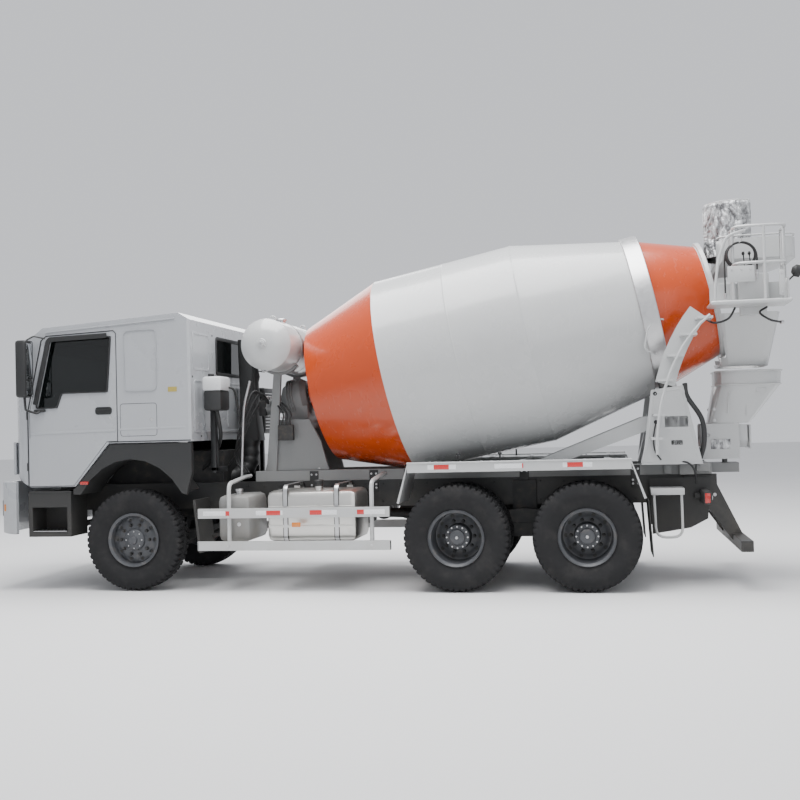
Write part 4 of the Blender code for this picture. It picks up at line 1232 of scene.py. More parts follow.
def blade(start_angle):
    """A mixing blade: a strip that stands on the shell's inside and climbs it in a screw."""
    share = np.linspace(0, 1, 140)
    t = 2.15 + 1.95 * share
    angle = start_angle + math.tau * 1.25 * share
    foot = drum_radius(t) - 0.025
    tip = foot - 0.20 * np.sin(np.pi * np.clip(share * 1.06 + 0.04, 0, 1)) ** 0.35
    u, v = across(DRUM_AXIS)
    outward = np.cos(angle)[:, None] * u + np.sin(angle)[:, None] * v
    rows = [
        DRUM_FRONT + (t + shift)[:, None] * DRUM_AXIS + reach[:, None] * outward
        for reach, shift in ((foot, -0.004), (foot, 0.004), (tip, 0.004), (tip, -0.004))
    ]
    return lattice(np.stack(rows, 1))


class MIXER_OT_drum(bpy.types.Operator):
    """Rolls the drum's shell, its riding ring, its mixing blades and the bolts of its front flange"""

    bl_idname = "mixer.drum"
    bl_label = "Drum"

    def execute(self, context):
        shell = turned(drum_profile(), DRUM_FRONT, DRUM_AXIS, DRUM_STEPS)
        piece("drum_shell", shell, "drum", drum_paint(), "drum_paint", ("drum",), sharp=30, merge=1e-5)
        low, high = RING_T
        ring = [
            (low, 0.850), (low, 0.893), (low + 0.006, 0.900), (high - 0.006, 0.900), (high, 0.893),
            (high, 0.800)
        ]
        riding = turned(ring, DRUM_FRONT, DRUM_AXIS, DRUM_STEPS, closed=True)
        piece("riding_ring", riding, "drum", bright_steel())
        piece("mixing_blades", blade(0.4) + blade(0.4 + math.pi), "drum", drum_paint(), "drum_paint")
        u, v = across(DRUM_AXIS)
        bolts = together(
            hexagon(on_drum(-0.152) + u * x + v * y, -DRUM_AXIS, 0.013, 0.045) for _, x,
            y in ring_round(0.148, 16)
        )
        piece("drum_flange_bolts", bolts, "drum", bright_steel())
        return {"FINISHED"}


# Cab

FRONT_Z, FRONT_STATION = (1.29, 1.68, 1.72, 2.36, 2.80, 2.965), (-1.42, -1.42, -1.505, -1.395, -1.25, -1.02)
PLAN_Y, PLAN_STATION = (0.0, 0.45, 0.90, 0.96, 1.08, 1.17, 1.198), (
    -1.52, -1.52, -1.44, -1.44, -1.417, -1.33, -1.20
)
DOOR_FACE = CAB_Y - 0.002
DOOR_WINDOW = ((-1.12, 2.06), (-0.94, 2.82), (-0.20, 2.84), (-0.25, 2.22), (-0.80, 2.22), (-0.86, 2.06))
DOOR_SEAM = ((-1.225, 1.18), (-1.225, 2.02), (-1.045, 2.825), (-0.98, 2.873), (-0.165, 2.903),
             (-0.137, 2.87), (-0.137, 1.66))


def front_of_cab(y, z, proud=0.0):
    """Points on the cab's bowed front: the nearer to the rear of its side outline at z and its plan at y."""
    y, z = np.broadcast_arrays(np.asarray(y, float), np.asarray(z, float))
    station = np.maximum(
        np.interp(z, FRONT_Z, FRONT_STATION), np.interp(np.abs(y), PLAN_Y, PLAN_STATION)
    )
    return np.stack([AXLE_X - station + proud, y, z], -1)


def ribbon(outline, width, low, high, radius=0.012):
    """A closed frame of one width that follows an outline on the cab's side."""
    corners = [at(s, 0, z) for s, z in outline]
    middle = (corners[0] + corners[-1]) / 2
    path = eased_path([middle, *corners, middle + (0, 0, 1e-4)], radius * 3, 5)[:-1]
    section = rounded_section(width, high - low, 0.003)
    return swept(path + (0, (low + high) / 2, 0), section[:, ::-1], up=(0, 1, 0), loop=True)


def both(surface):
    """A surface and its mirror image on the other side."""
    return surface + surface.mirrored()


def strip(points, width, height, up=(0.0, 1.0, 0.0), radius=0.003, scale=None):
    """A bar with a rounded rectangle's section along a path."""
    return swept(points, rounded_section(width, height, radius), up, scale=scale)


def bar(low, high, radius=0.004):
    """A rounded box between two places given by station, side and height."""
    (s0, y0, z0), (s1, y1, z1) = low, high
    return brick(at(s1, y0, z0), at(s0, y1, z1), radius)


def tube(points, radius, ease=0.03, sides=12):
    """A round bar along corners that are eased by bends."""
    path = eased_path(points, ease) if ease else np.asarray(points, float)
    reach = np.ptp(path, 0)
    up = (0.03, 1, 0.05) if reach[1] < reach.sum() * 0.6 else (0.03, 0.05, 1)
    return swept(path, circle(radius, sides), up)


def lamp(name, centre, axis, radius, body, hue, depth=0.03):
    """A round lamp: a domed lens in a turned bezel."""
    bezel = [
        (0.0, 0.001), (0.0, radius + 0.006), (depth, radius + 0.006), (depth + 0.004, radius),
        (depth, radius - 0.004), (depth - 0.006, 0.001)
    ]
    dome = [(depth * 0.5, 0.001), (depth * 0.5, radius - 0.002), (depth, radius - 0.003)]
    dome += [
        (depth + 0.012 * math.sin(a), (radius - 0.003) * math.cos(a)) for a in np.linspace(0.3, 1.5, 5)
    ]
    piece(f"{name}_bezel", turned(bezel, centre, axis, 28), body, black_plastic())
    piece(f"{name}_lens", turned(dome, centre, axis, 28), body, lens(hue))


def front_band(z_values, y_values, proud, depth):
    """A curved slab on the cab's front over heights and places across, given depth."""
    y, z = np.meshgrid(y_values, z_values)
    outer = front_of_cab(y, z, proud)
    inner = front_of_cab(y, z, proud - depth)
    rows = np.concatenate([outer, inner[::-1]])
    return lattice(np.swapaxes(rows, 0, 1), outline_ends=True)


def frame_on_front(half_widths, heights, width, proud):
    """A rounded strip on the bowed front, through the corners of a tapered frame."""
    (low_half, high_half), (low, high) = half_widths, heights
    y = np.concatenate([
        np.linspace(-low_half, low_half, 24), np.linspace(low_half, high_half, 16)[1:],
        np.linspace(high_half, -high_half, 24)[1:], np.linspace(-high_half, -low_half, 16)[1:-1],
    ])
    z = np.concatenate(
        [
            np.full(24, low), np.linspace(low, high, 16)[1:], np.full(23, high),
            np.linspace(high, low, 16)[1:-1]
        ]
    )
    return swept(
        front_of_cab(y, z, proud), rounded_section(width, 0.016, 0.005), up=(1, 0, 0.25), loop=True
    )


def wiper(start_y, tip_y):
    """A wiper: its arm, hinge and blade, lying along the foot of the windscreen."""
    pivot = front_of_cab(start_y, 1.755, 0.012)
    tip = front_of_cab(tip_y, 1.90, 0.030)
    arm = strip(np.linspace(pivot, tip, 8), 0.016, 0.008, (1, 0, 0))
    share = np.linspace(-0.5, 0.5, 14)
    blade = front_of_cab(tip_y + share * 0.62, 1.895 + share * 0.10 * np.sign(tip_y - start_y), 0.018)
    return arm + strip(blade, 0.022, 0.012, (1, 0, 0)) + turned(
        [(0, 0.018), (0.022, 0.016), (0.028, 0.008)], pivot, (1, 0, 0.2), 16
    )


class MIXER_OT_cab_front(bpy.types.Operator):
    """Builds the grille, the lamps, the visor, the wipers and the blank plate of the cab's front"""

    bl_idname = "mixer.cab_front"
    bl_label = "Cab front"

    def execute(self, context):
        wide = np.linspace(-1.02, 1.02, 33)
        panel_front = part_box("front_panel")[1].x
        slats = together(
            front_band(np.linspace(z, z + 0.045, 3), wide * 0.88, 0.072, 0.02)
            for z in (1.355, 1.425, 1.495, 1.565)
        )
        piece("grille_slats", slats, "front_panel", black_plastic(), sharp=50)
        badge_bar = front_band((1.635, 1.660), wide * 0.94, 0.070, 0.02)
        piece("grille_bright_bar", badge_bar, "front_panel", bright_steel())
        visor = front_band(np.linspace(2.73, 2.87, 6), wide * 0.98, 0.105, 0.014)
        lip = front_band((2.725, 2.740), wide * 0.98, 0.110, 0.03)
        stays = together(bar((-1.36, y - 0.012, 2.78), (-1.20, y + 0.012, 2.80)) for y in (-0.8, 0.0, 0.8))
        piece("sun_visor", visor + lip + stays, CAB, black_plastic(), sharp=45)
        piece(
            "windscreen_rubber", frame_on_front((1.02, 0.98), (1.80, 2.72), 0.030, 0.002), CAB,
            black_plastic()
        )
        piece("wipers", wiper(-0.62, -0.22) + wiper(0.10, 0.52), CAB, black_plastic())
        seam = front_band((1.738, 1.744), wide * 1.08, 0.002, 0.008)
        piece("front_lid_seam", seam, CAB, black_plastic())
        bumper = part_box("front_bumper")
        nose = bumper[1].x
        for name, sign in SIDES:
            place = np.array((nose - 0.022, sign * 0.86, 0.93))
            housing = brick(place - (0.05, 0.19, 0.11), place + (0.018, 0.19, 0.11), 0.03)
            piece(f"headlamp_housing_{name}", housing, ROOT, black_plastic())
            lamp(
                f"headlamp_{name}", place + (0.010, -sign * 0.06, 0), (1, 0, 0), 0.075, ROOT, "clear", 0.012
            )
            lamp(
                f"dipped_lamp_{name}", place + (0.010, sign * 0.11, 0.035), (1, 0, 0), 0.042, ROOT, "clear",
                0.012
            )
            lamp(
                f"front_indicator_{name}", place + (0.010, sign * 0.11, -0.055), (1, 0, 0), 0.034, ROOT,
                "amber", 0.012
            )
            lamp(
                f"fog_lamp_{name}", (nose - 0.008, sign * 0.72, 0.735), (1, 0, 0), 0.048, ROOT, "clear",
                0.004
            )
            side_lamp = brick((nose - 0.20, sign * 1.150, 0.90), (nose - 0.115, sign * 1.19, 0.985), 0.012)
            piece(f"side_indicator_{name}", side_lamp, ROOT, lens("amber"))
            marker = together(
                front_band(np.linspace(2.905, 2.945, 3), np.linspace(y - 0.05, y + 0.05, 5), 0.022, 0.03)
                for y in (sign * 0.82, sign * 0.42)
            )
            piece(f"roof_lamps_{name}", marker, CAB, lens("amber"))
        slot = brick((nose - 0.016, -0.46, 0.78), (nose + 0.006, 0.46, 0.90), 0.02)
        piece("bumper_air_slot", slot, ROOT, black_plastic())
        ribs = together(
            brick((nose + 0.002, -0.44, z), (nose + 0.012, 0.44, z + 0.014), 0.004)
            for z in (0.80, 0.835, 0.87)
        )
        piece("bumper_ribs", ribs, ROOT, black_plastic())
        plate = brick((nose + 0.001, -0.24, 1.00), (nose + 0.008, 0.24, 1.13), 0.004)
        piece("front_blank_plate", plate, ROOT, blank_plate())
        screws = together(
            hexagon((nose + 0.008, y, z), (1, 0, 0), 0.007, 0.004) for y in (-0.20, 0.20)
            for z in (1.02, 1.11)
        )
        tow = together(
            rod((nose - 0.02, y, 0.70), (nose + 0.012, y, 0.70), 0.026, edge=0.004) for y in (-0.36, 0.36)
        )
        piece("bumper_screws", screws + tow, ROOT, bright_steel())
        rows = together(
            hexagon((panel_front - 0.012, y, 1.335), (1, 0, 0), 0.006, 0.004)
            for y in np.linspace(-0.4, 0.4, 5)
        )
        piece("front_panel_screws", rows, "front_panel", bright_steel())
        return {"FINISHED"}


def side_fitter(name, sign):
    """A function that makes one piece for this side from its left-hand shape."""

    def fit(part, surface, body, paint, **more):
        return piece(f"{part}_{name}", surface.mirrored(sign), body, paint(), **more)

    return fit


def door_pieces(name, sign):
    """One door's rubber, deflector, crease, handle, lock, trim and mirrors."""
    fit = side_fitter(name, sign)
    body = f"door_{name}"
    y = DOOR_FACE
    rubber = ribbon(DOOR_WINDOW, 0.034, y - 0.006, y + 0.006)
    fit("window_rubber", rubber, body, black_plastic)
    line = eased_path(
        [at(-1.12, y + 0.020, 2.10), at(-0.945, y + 0.020, 2.83), at(-0.24, y + 0.020, 2.85)], 0.04, 6
    )
    deflector = swept(line, rounded_section(0.055, 0.008, 0.003), up=(0, 1, 0))
    fit("rain_deflector", deflector, body, black_plastic)
    crease = strip(np.linspace(at(-1.19, y + 0.001, 1.775), at(-0.16, y + 0.001, 1.79), 12), 0.030, 0.008)
    fit("door_crease", crease, body, silver_white_paint)
    seal = strip(
        eased_path([at(s, y + 0.0005, z) for s, z in ((-1.20, 1.72), (-1.20, 2.02), (-1.155, 2.20))], 0.02),
        0.005, 0.002
    )
    fit("quarter_seam", seal, body, black_plastic)
    cup = sheet_between(rounded_section(0.20, 0.085, 0.03) + (-0.30, 2.01), y - 0.002, y + 0.003)
    grip = strip(
        eased_path(
            [
                at(s, y + g, 2.025) for s,
                g in ((-0.385, 0.004), (-0.37, 0.014), (-0.23, 0.014), (-0.215, 0.004))
            ],
            0.01
        ),
        0.026, 0.010, (0, 0, 1)
    )
    fit("handle_recess", cup, body, black_plastic)
    piece(f"door_handle_{name}", grip.mirrored(sign), body, black_plastic(), sharp=50)
    lock = turned(
        [(0, 0.014), (0.004, 0.014), (0.006, 0.010), (0.004, 0.004)], at(-0.22, y, 1.93), (0, 1, 0), 20
    )
    fit("door_lock", lock, body, bright_steel)
    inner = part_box("door_left")[0].y
    trim = sheet_between(
        ((-1.16, 1.72), (-1.16, 2.03), (-0.88, 2.03), (-0.82, 2.18), (-0.19, 2.18), (-0.19, 1.70)),
        inner - 0.022, inner - 0.0005
    )
    rest = brick(at(-0.28, inner - 0.075, 1.935), at(-0.78, inner - 0.015, 1.985), 0.018)
    pocket = brick(at(-0.30, inner - 0.06, 1.735), at(-1.00, inner - 0.018, 1.85), 0.02)
    piece(
        f"door_trim_{name}", (trim + rest + pocket).mirrored(sign), body, trim_plastic(), "black_plastic",
        edge=0.004
    )
    crank = turned(
        [(0, 0.024), (0.02, 0.02), (0.022, 0.001)], at(-0.90, inner - 0.021, 1.93), (0, -1, 0), 20
    )
    speaker = turned(
        [(0, 0.075), (0.008, 0.07), (0.010, 0.03), (0.006, 0.001)], at(-0.55, inner - 0.021, 1.80),
        (0, -1, 0), 32
    )
    fit("door_speaker", (crank + speaker), body, black_plastic)
    glass_x = AXLE_X + 1.10
    for tag, z0, z1 in (("main", 2.39, 2.785), ("wide", 2.205, 2.365)):
        pane = brick((glass_x - 0.0035, 1.303, z0), (glass_x + 0.004, 1.422, z1), 0.016)
        piece(f"{tag}_mirror_glass_{name}", pane.mirrored(sign), body, mirror_silver())
    lip = strip(
        eased_path(
            [
                (glass_x - 0.002, 1.292, 2.19), (glass_x - 0.002, 1.433, 2.19),
                (glass_x - 0.002, 1.433, 2.81), (glass_x - 0.002, 1.292, 2.81),
                (glass_x - 0.002, 1.292, 2.20)
            ],
            0.02
        ),
        0.008, 0.008, (1, 0, 0)
    )
    fit("mirror_lip", lip, body, black_plastic)
    hinges = together(
        rod(at(-1.235, y - 0.004, z - 0.045), at(-1.235, y - 0.004, z + 0.045), 0.009, edge=0.003)
        for z in (1.40, 1.98)
    )
    fit("door_hinges", hinges, body, cast_iron)


def side_wall(name, sign):
    """The cab's side behind one door: the panel, the hatch, the gutter, the steps and the lamp."""
    fit = side_fitter(name, sign)
    y = CAB_Y
    frames = (
        ((-0.04, 2.22), (-0.04, 2.89), (0.34, 2.90), (0.34, 2.22)),
        ((-0.10, 1.72), (-0.10, 2.08), (0.33, 2.08), (0.33, 1.72)),
    )
    pressed = ribbon(frames[0], 0.022, y - 0.003, y + 0.003, 0.02)
    fit("side_panel_swage", pressed, CAB, silver_white_paint)
    hatch = ribbon(frames[1], 0.007, y - 0.004, y + 0.001)
    fit("locker_seam", hatch, CAB, black_plastic)
    lid_lock = turned(
        [(0, 0.016), (0.004, 0.016), (0.006, 0.010), (0.003, 0.004)], at(0.27, y, 1.90), (0, 1, 0), 20
    )
    fit("locker_lock", lid_lock, CAB, bright_steel)
    seam = strip([at(s, y - 0.0008, z) for s, z in DOOR_SEAM], 0.009, 0.004)
    fit("door_seam", seam, CAB, black_plastic)
    gutter = strip(
        [at(s, y + 0.004, z - 0.055) for s, z in np.linspace((-0.98, 2.968), (0.56, 3.062), 20)], 0.014,
        0.016
    )
    fit("roof_gutter", gutter, CAB, silver_white_paint)
    crease = strip(np.linspace(at(-0.12, y, 1.795), at(0.66, y, 1.805), 8), 0.024, 0.006)
    fit("side_crease", crease, CAB, silver_white_paint)
    arch_lip = np.array(((-0.245, 1.66), (0.72, 1.66)))
    edge = strip([at(s, y - 0.002, z) for s, z in np.linspace(*arch_lip, 12)], 0.012, 0.012)
    fit("side_foot_rubber", edge, CAB, black_plastic)
    lamp_box = brick(at(-0.50, 1.188, 1.19), at(-0.60, 1.206, 1.225), 0.006)
    piece(f"side_lamp_{name}", lamp_box.mirrored(sign), ROOT, lens("red" if sign > 0 else "amber"))
    treads = together(bar((-1.19, 1.00, z), (-0.78, 1.185, z + 0.008), 0.003) for z in (0.667,))
    ribs = together(
        bar((s, 1.00, 0.675), (s + 0.012, 1.18, 0.679), 0.0015) for s in np.linspace(-1.17, -0.82, 9)
    )
    fit("step_tread", (treads + ribs), ROOT, bright_steel)
    lipped = bar(
        (-1.23, 1.182, 1.105), (-0.73, 1.196, 1.125)
    ) + bar((-1.23, 1.182, 0.615), (-0.73, 1.194, 0.635))
    piece(f"step_lip_{name}", lipped.mirrored(sign), ROOT, bright_steel() if sign < 0 else black_plastic())


class MIXER_OT_cab_sides(bpy.types.Operator):
    """Builds the trim of both doors and of the cab's sides"""

    bl_idname = "mixer.cab_sides"
    bl_label = "Cab sides"

    def execute(self, context):
        for name, sign in SIDES:
            door_pieces(name, sign)
            side_wall(name, sign)
        patch = sheet_between(rounded_section(0.105, 0.055, 0.004) + (0.52, 2.225), CAB_Y, CAB_Y + 0.002)
        piece("yellow_blank_patch", patch, CAB, yellow_plate())
        return {"FINISHED"}


class MIXER_OT_cab_back(bpy.types.Operator):
    """Builds the rear window, the pressed panels of the cab's back wall and the roof's hatch"""

    bl_idname = "mixer.cab_back"
    bl_label = "Cab back"

    def execute(self, context):
        wall = 0.728
        outline = ((-0.95, 2.42), (0.38, 2.42), (0.38, 2.84), (-0.95, 2.84))

        def frame_at(corners, width, depth, out, radius=0.04):
            points = [at(out, y, z) for y, z in corners]
            middle = (points[0] + points[-1]) / 2
            path = eased_path([middle, *points, middle + (0, 1e-4, 0)], radius, 6)[:-1]
            return swept(path, rounded_section(width, depth, 0.004), up=(1, 0, 0), loop=True)

        piece("rear_window_rubber", frame_at(outline, 0.04, 0.018, wall), CAB, black_plastic())
        pane = sheet_between([(y * 0.995, z) for y, z in outline], wall - 0.014, wall - 0.008, "X")
        piece("rear_window", pane, CAB, window_glass(), "glass")
        panels = (
            ((0.62, 2.45), (1.10, 2.45), (1.10, 2.85), (0.62, 2.85)),
            ((-1.08, 1.75), (1.08, 1.75), (1.08, 2.32), (-1.08, 2.32))
        )
        swages = together(frame_at(corners, 0.026, 0.008, wall + 0.001) for corners in panels)
        piece("back_wall_swages", swages, CAB, silver_white_paint())
        ribs = together(
            strip(
                np.linspace(at(wall + 0.001, y, 1.80), at(wall + 0.001, y, 2.27), 8), 0.05, 0.008, (1, 0, 0)
            )
            for y in (-0.8, -0.4, 0.0, 0.4, 0.8)
        )
        piece("back_wall_ribs", ribs, CAB, silver_white_paint())
        grommets = together(
            turned(
                [(0, 0.013), (0.005, 0.012), (0.006, 0.006), (0.003, 0.001)], at(wall, y, z), (-1, 0, 0), 16
            ) for y,
            z in ((0.50, 2.40), (0.50, 2.86), (1.13, 2.36), (-1.08, 2.6), (0.9, 1.70), (-0.9, 1.70))
        )
        piece("back_wall_grommets", grommets, CAB, black_plastic())
        lid = brick(at(0.05, -0.34, 3.022), at(-0.55, 0.34, 3.046), 0.01).through(
            lambda points: points - np.outer((points[:, 0] - AXLE_X) * 0.0648 + 0.012, (0, 0, 1))
        )
        piece("roof_hatch", lid, CAB, silver_white_paint(), edge=0.003)
        ridges = together(
            strip(np.linspace(at(-0.80, y, 2.982), at(0.52, y, 3.067), 14), 0.05, 0.010, (0, 0, 1))
            for y in (-0.98, -0.72, -0.5, 0.5, 0.72, 0.98)
        )
        piece("roof_ridges", ridges, CAB, silver_white_paint())
        return {"FINISHED"}


# Behind the cab and along the chassis


def hose(points, radius, name, body=ROOT, made_of=None, sides=14):
    """A hose or pipe on a smooth curve through its points."""
    path = smooth_path(points, 10)
    up = (0.31, 0.17, 0.93)
    return piece(name, swept(path, circle(radius, sides), up), body, (made_of or hose_rubber)())


def bolts_at(places, axis, width=0.012, height=0.009):
    """Bolt heads on washers at a row of places."""
    made = []
    for place in places:
        made.append(turned([(0, width * 1.35), (0.0025, width * 1.3)], place, axis, 14))
        made.append(
            hexagon(np.asarray(place, float) + np.asarray(axis, float) * 0.0025, axis, width, height)
        )
    return together(made)


class MIXER_OT_front_equipment(bpy.types.Operator):
    """Builds what stands between the cab and the drum: tanks, hoses, pipes and the drum's drive"""

    bl_idname = "mixer.front_equipment"
    bl_label = "Front equipment"

    def execute(self, context):
        low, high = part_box("water_tank")
        centre = np.array(((low.x + high.x) / 2, 0, (low.z + high.z) / 2))
        radius = (high.z - low.z) / 2
        seams = together(
            turned(
                [
                    (-0.010, radius - 0.002), (-0.004, radius + 0.003), (0.004, radius + 0.003),
                    (0.010, radius - 0.002)
                ],
                centre + (0, y, 0), (0, 1, 0), 64, closed=True
            )
            for y in (-0.90, -0.45, 0.0, 0.45, 0.90)
        )
        piece("water_tank_seams", seams, ROOT, white_paint())
        for name, sign in SIDES:
            end = centre + (0, sign * (high.y - 0.001), 0)
            boss = turned(
                [
                    (-0.012, 0.055), (0.004, 0.055), (0.010, 0.050), (0.010, 0.038), (0.022, 0.036),
                    (0.026, 0.030), (0.026, 0.001)
                ],
                end, (0, sign, 0), 32
            )
            piece(f"water_tank_boss_{name}", boss, ROOT, white_paint())
            square = hexagon(end + (0, sign * 0.024, 0), (0, sign, 0), 0.017, 0.014)
            piece(f"water_tank_plug_{name}", square, ROOT, bright_steel())
        neck = turned(
            [(-0.01, 0.055), (0.03, 0.055), (0.032, 0.066), (0.052, 0.068), (0.060, 0.060), (0.062, 0.001)],
            centre + (0, 0.30, radius - 0.006), (0, 0, 1), 36
        )
        piece("water_filler_cap", neck, ROOT, bright_steel())
        eyes = together(
            swept(
                centre + np.stack(
                    [0.035 * np.cos(a), np.full(24, y), radius + 0.022 + 0.035 * np.sin(a)], -1
                ),
                circle(0.008, 10), up=(0, 1, 0), loop=True
            )
            for y in (-0.62, 0.62) for a in (np.linspace(0, math.tau, 24, endpoint=False),)
        )
        piece("water_tank_eyes", eyes, ROOT, white_paint())
        straps = together(
            turned(
                [
                    (-0.022, radius + 0.0005), (-0.022, radius + 0.005), (0.022, radius + 0.005),
                    (0.022, radius + 0.0005)
                ],
                centre + (0, y, 0), (0, 1, 0), 64, closed=True
            )
            for y in (-0.40, 0.40)
        )
        piece("water_tank_straps", straps, ROOT, bright_steel())
        gauge = tube([centre + (0.02, 0.70, -radius + 0.02), centre + (0.10, 0.70, -radius - 0.02),
                      centre + (radius + 0.02, 0.70, -0.02), centre + (0.10, 0.70, radius + 0.02),
                      centre + (0.02, 0.70, radius - 0.01)], 0.008, 0.08)
        piece("water_level_pipe", gauge, ROOT, bright_steel())

        tank = brick(at(1.02, 0.70, 2.20), at(0.79, 1.02, 2.36), 0.03)
        under = brick(at(1.01, 0.71, 1.98), at(0.80, 1.01, 2.21), 0.03)
        piece("coolant_tank_top", tank, ROOT, blank_plate())
        piece("coolant_tank_foot", under, ROOT, black_plastic())
        cap = turned(
            [(0, 0.032), (0.012, 0.034), (0.034, 0.034), (0.040, 0.028), (0.041, 0.001)],
            at(0.87, 0.93, 2.355), (0, 0, 1), 30
        )
        piece("coolant_cap", cap, ROOT, black_plastic())
        cradle = bar((0.80, 0.72, 1.30), (0.86, 0.80, 1.985)) + bar((0.80, 0.42, 1.28), (0.86, 0.80, 1.34))
        piece("coolant_tank_stand", cradle, ROOT, black_paint())
        hose(
            [
                at(0.90, 0.86, 2.0), at(0.92, 0.84, 1.86), at(0.88, 0.70, 1.66), at(0.70, 0.45, 1.45),
                at(0.50, 0.28, 1.30)
            ],
            0.022, "coolant_hose"
        )
        hose(
            [
                at(0.98, 0.78, 2.24), at(1.07, 0.74, 2.20), at(1.08, 0.62, 1.90), at(1.02, 0.42, 1.60),
                at(0.80, 0.30, 1.30)
            ],
            0.012, "overflow_hose"
        )
        duct = swept(
            smooth_path(
                [
                    at(0.93, -0.30, 2.83), at(0.93, -0.30, 2.2), at(0.93, -0.26, 1.6),
                    at(0.90, -0.16, 1.28), at(0.62, 0.0, 1.15)
                ],
                9
            ),
            circle(0.105, 24), (0, 1, 0), scale=0.9 + 0.1 * np.cos(np.arange(37) * 2.1)
        )
        piece("intake_bellows", duct, ROOT, black_plastic(), sharp=60)
        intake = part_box("air_intake")
        slots = together(
            brick((intake[0].x - 0.004, -0.43, z), (intake[0].x + 0.01, -0.17, z + 0.016), 0.004)
            for z in np.linspace(2.46, 2.80, 9)
        )
        piece("intake_louvres", slots, ROOT, black_paint())
        hose(
            [at(1.06, 0.52, 1.20), at(1.08, 0.52, 1.60), at(1.10, 0.50, 2.0), at(1.16, 0.44, 2.32)], 0.016,
            "bright_pipe", made_of=bright_steel
        )
        for k, y in enumerate((0.02, 0.10, 0.18)):
            hose(
                [
                    on_drum(-0.70, -0.04, y * 0.6), at(1.20 - 0.03 * k, y * 1.4, 2.14 + 0.03 * k),
                    at(1.02, y * 1.6 + 0.05, 1.85), at(0.90, y + 0.08, 1.45), at(1.02, y + 0.12, 1.24)
                ],
                0.014, f"hydraulic_hose_{k + 1}"
            )
        motor_end = on_drum(-0.78)
        block = brick(motor_end - (0.035, 0.10, 0.09), motor_end + (0.06, 0.10, 0.09), 0.014)
        fittings = together(
            rod(on_drum(-0.72, -0.095, y), on_drum(-0.72, -0.135, y), 0.019, edge=0.004)
            for y in (-0.05, 0.05)
        )
        piece("motor_end_block", block, ROOT, cast_iron())
        piece("motor_fittings", fittings, ROOT, bright_steel())
        u, v = across(DRUM_AXIS)
        gear_bolts = together(
            hexagon(on_drum(-0.598) + u * x + v * y, -DRUM_AXIS, 0.012, 0.011) for _, x,
            y in ring_round(0.165, 10)
        )
        piece("gearbox_bolts", gear_bolts, ROOT, bright_steel())
        fins = together(
            turned(
                [(-0.006, 0.235), (-0.006, 0.262), (0.006, 0.262), (0.006, 0.235)], on_drum(t), DRUM_AXIS,
                48, closed=True
            )
            for t in (-0.43, -0.40, -0.37)
        )
        piece("gearbox_ribs", fins, ROOT, grey_paint())
        valve = brick(at(1.68, 0.43, 1.62), at(1.50, 0.50, 1.80), 0.008)
        taps = together(
            rod(at(s, 0.465, 1.79), at(s, 0.465, 1.84), 0.017, 0.014, edge=0.003)
            for s in (1.545, 1.59, 1.635)
        )
        piece("valve_block", valve + taps, ROOT, cast_iron())
        for k, s in enumerate((1.545, 1.59, 1.635)):
            hose(
                [
                    at(s, 0.465, 1.83), at(s + 0.02, 0.48, 1.92), at(s - 0.06, 0.42, 2.02),
                    at(1.35 + 0.03 * k, 0.24, 2.08), on_drum(-0.68, 0.05, 0.09)
                ],
                0.010, f"valve_hose_{k + 1}"
            )
        places = [at(s, 0.39, 1.283) for s in (1.40, 1.95)]
        piece("front_stand_bolts", both(bolts_at(places, (0, 0, 1), 0.014, 0.012)), ROOT, bright_steel())
        cooler = brick(at(1.02, -0.98, 1.70), at(0.80, -0.52, 2.28), 0.03)
        grid = together(
            brick(at(1.025, -0.95, z), at(1.012, -0.55, z + 0.010), 0.003)
            for z in np.linspace(1.76, 2.20, 12)
        )
        feet = bar((0.84, -0.80, 1.16), (0.92, -0.74, 1.71)) + bar((0.84, -0.80, 1.16), (0.92, -0.40, 1.20))
        piece("oil_cooler", cooler + feet, ROOT, black_paint())
        piece("oil_cooler_grid", grid, ROOT, bright_steel())
        return {"FINISHED"}


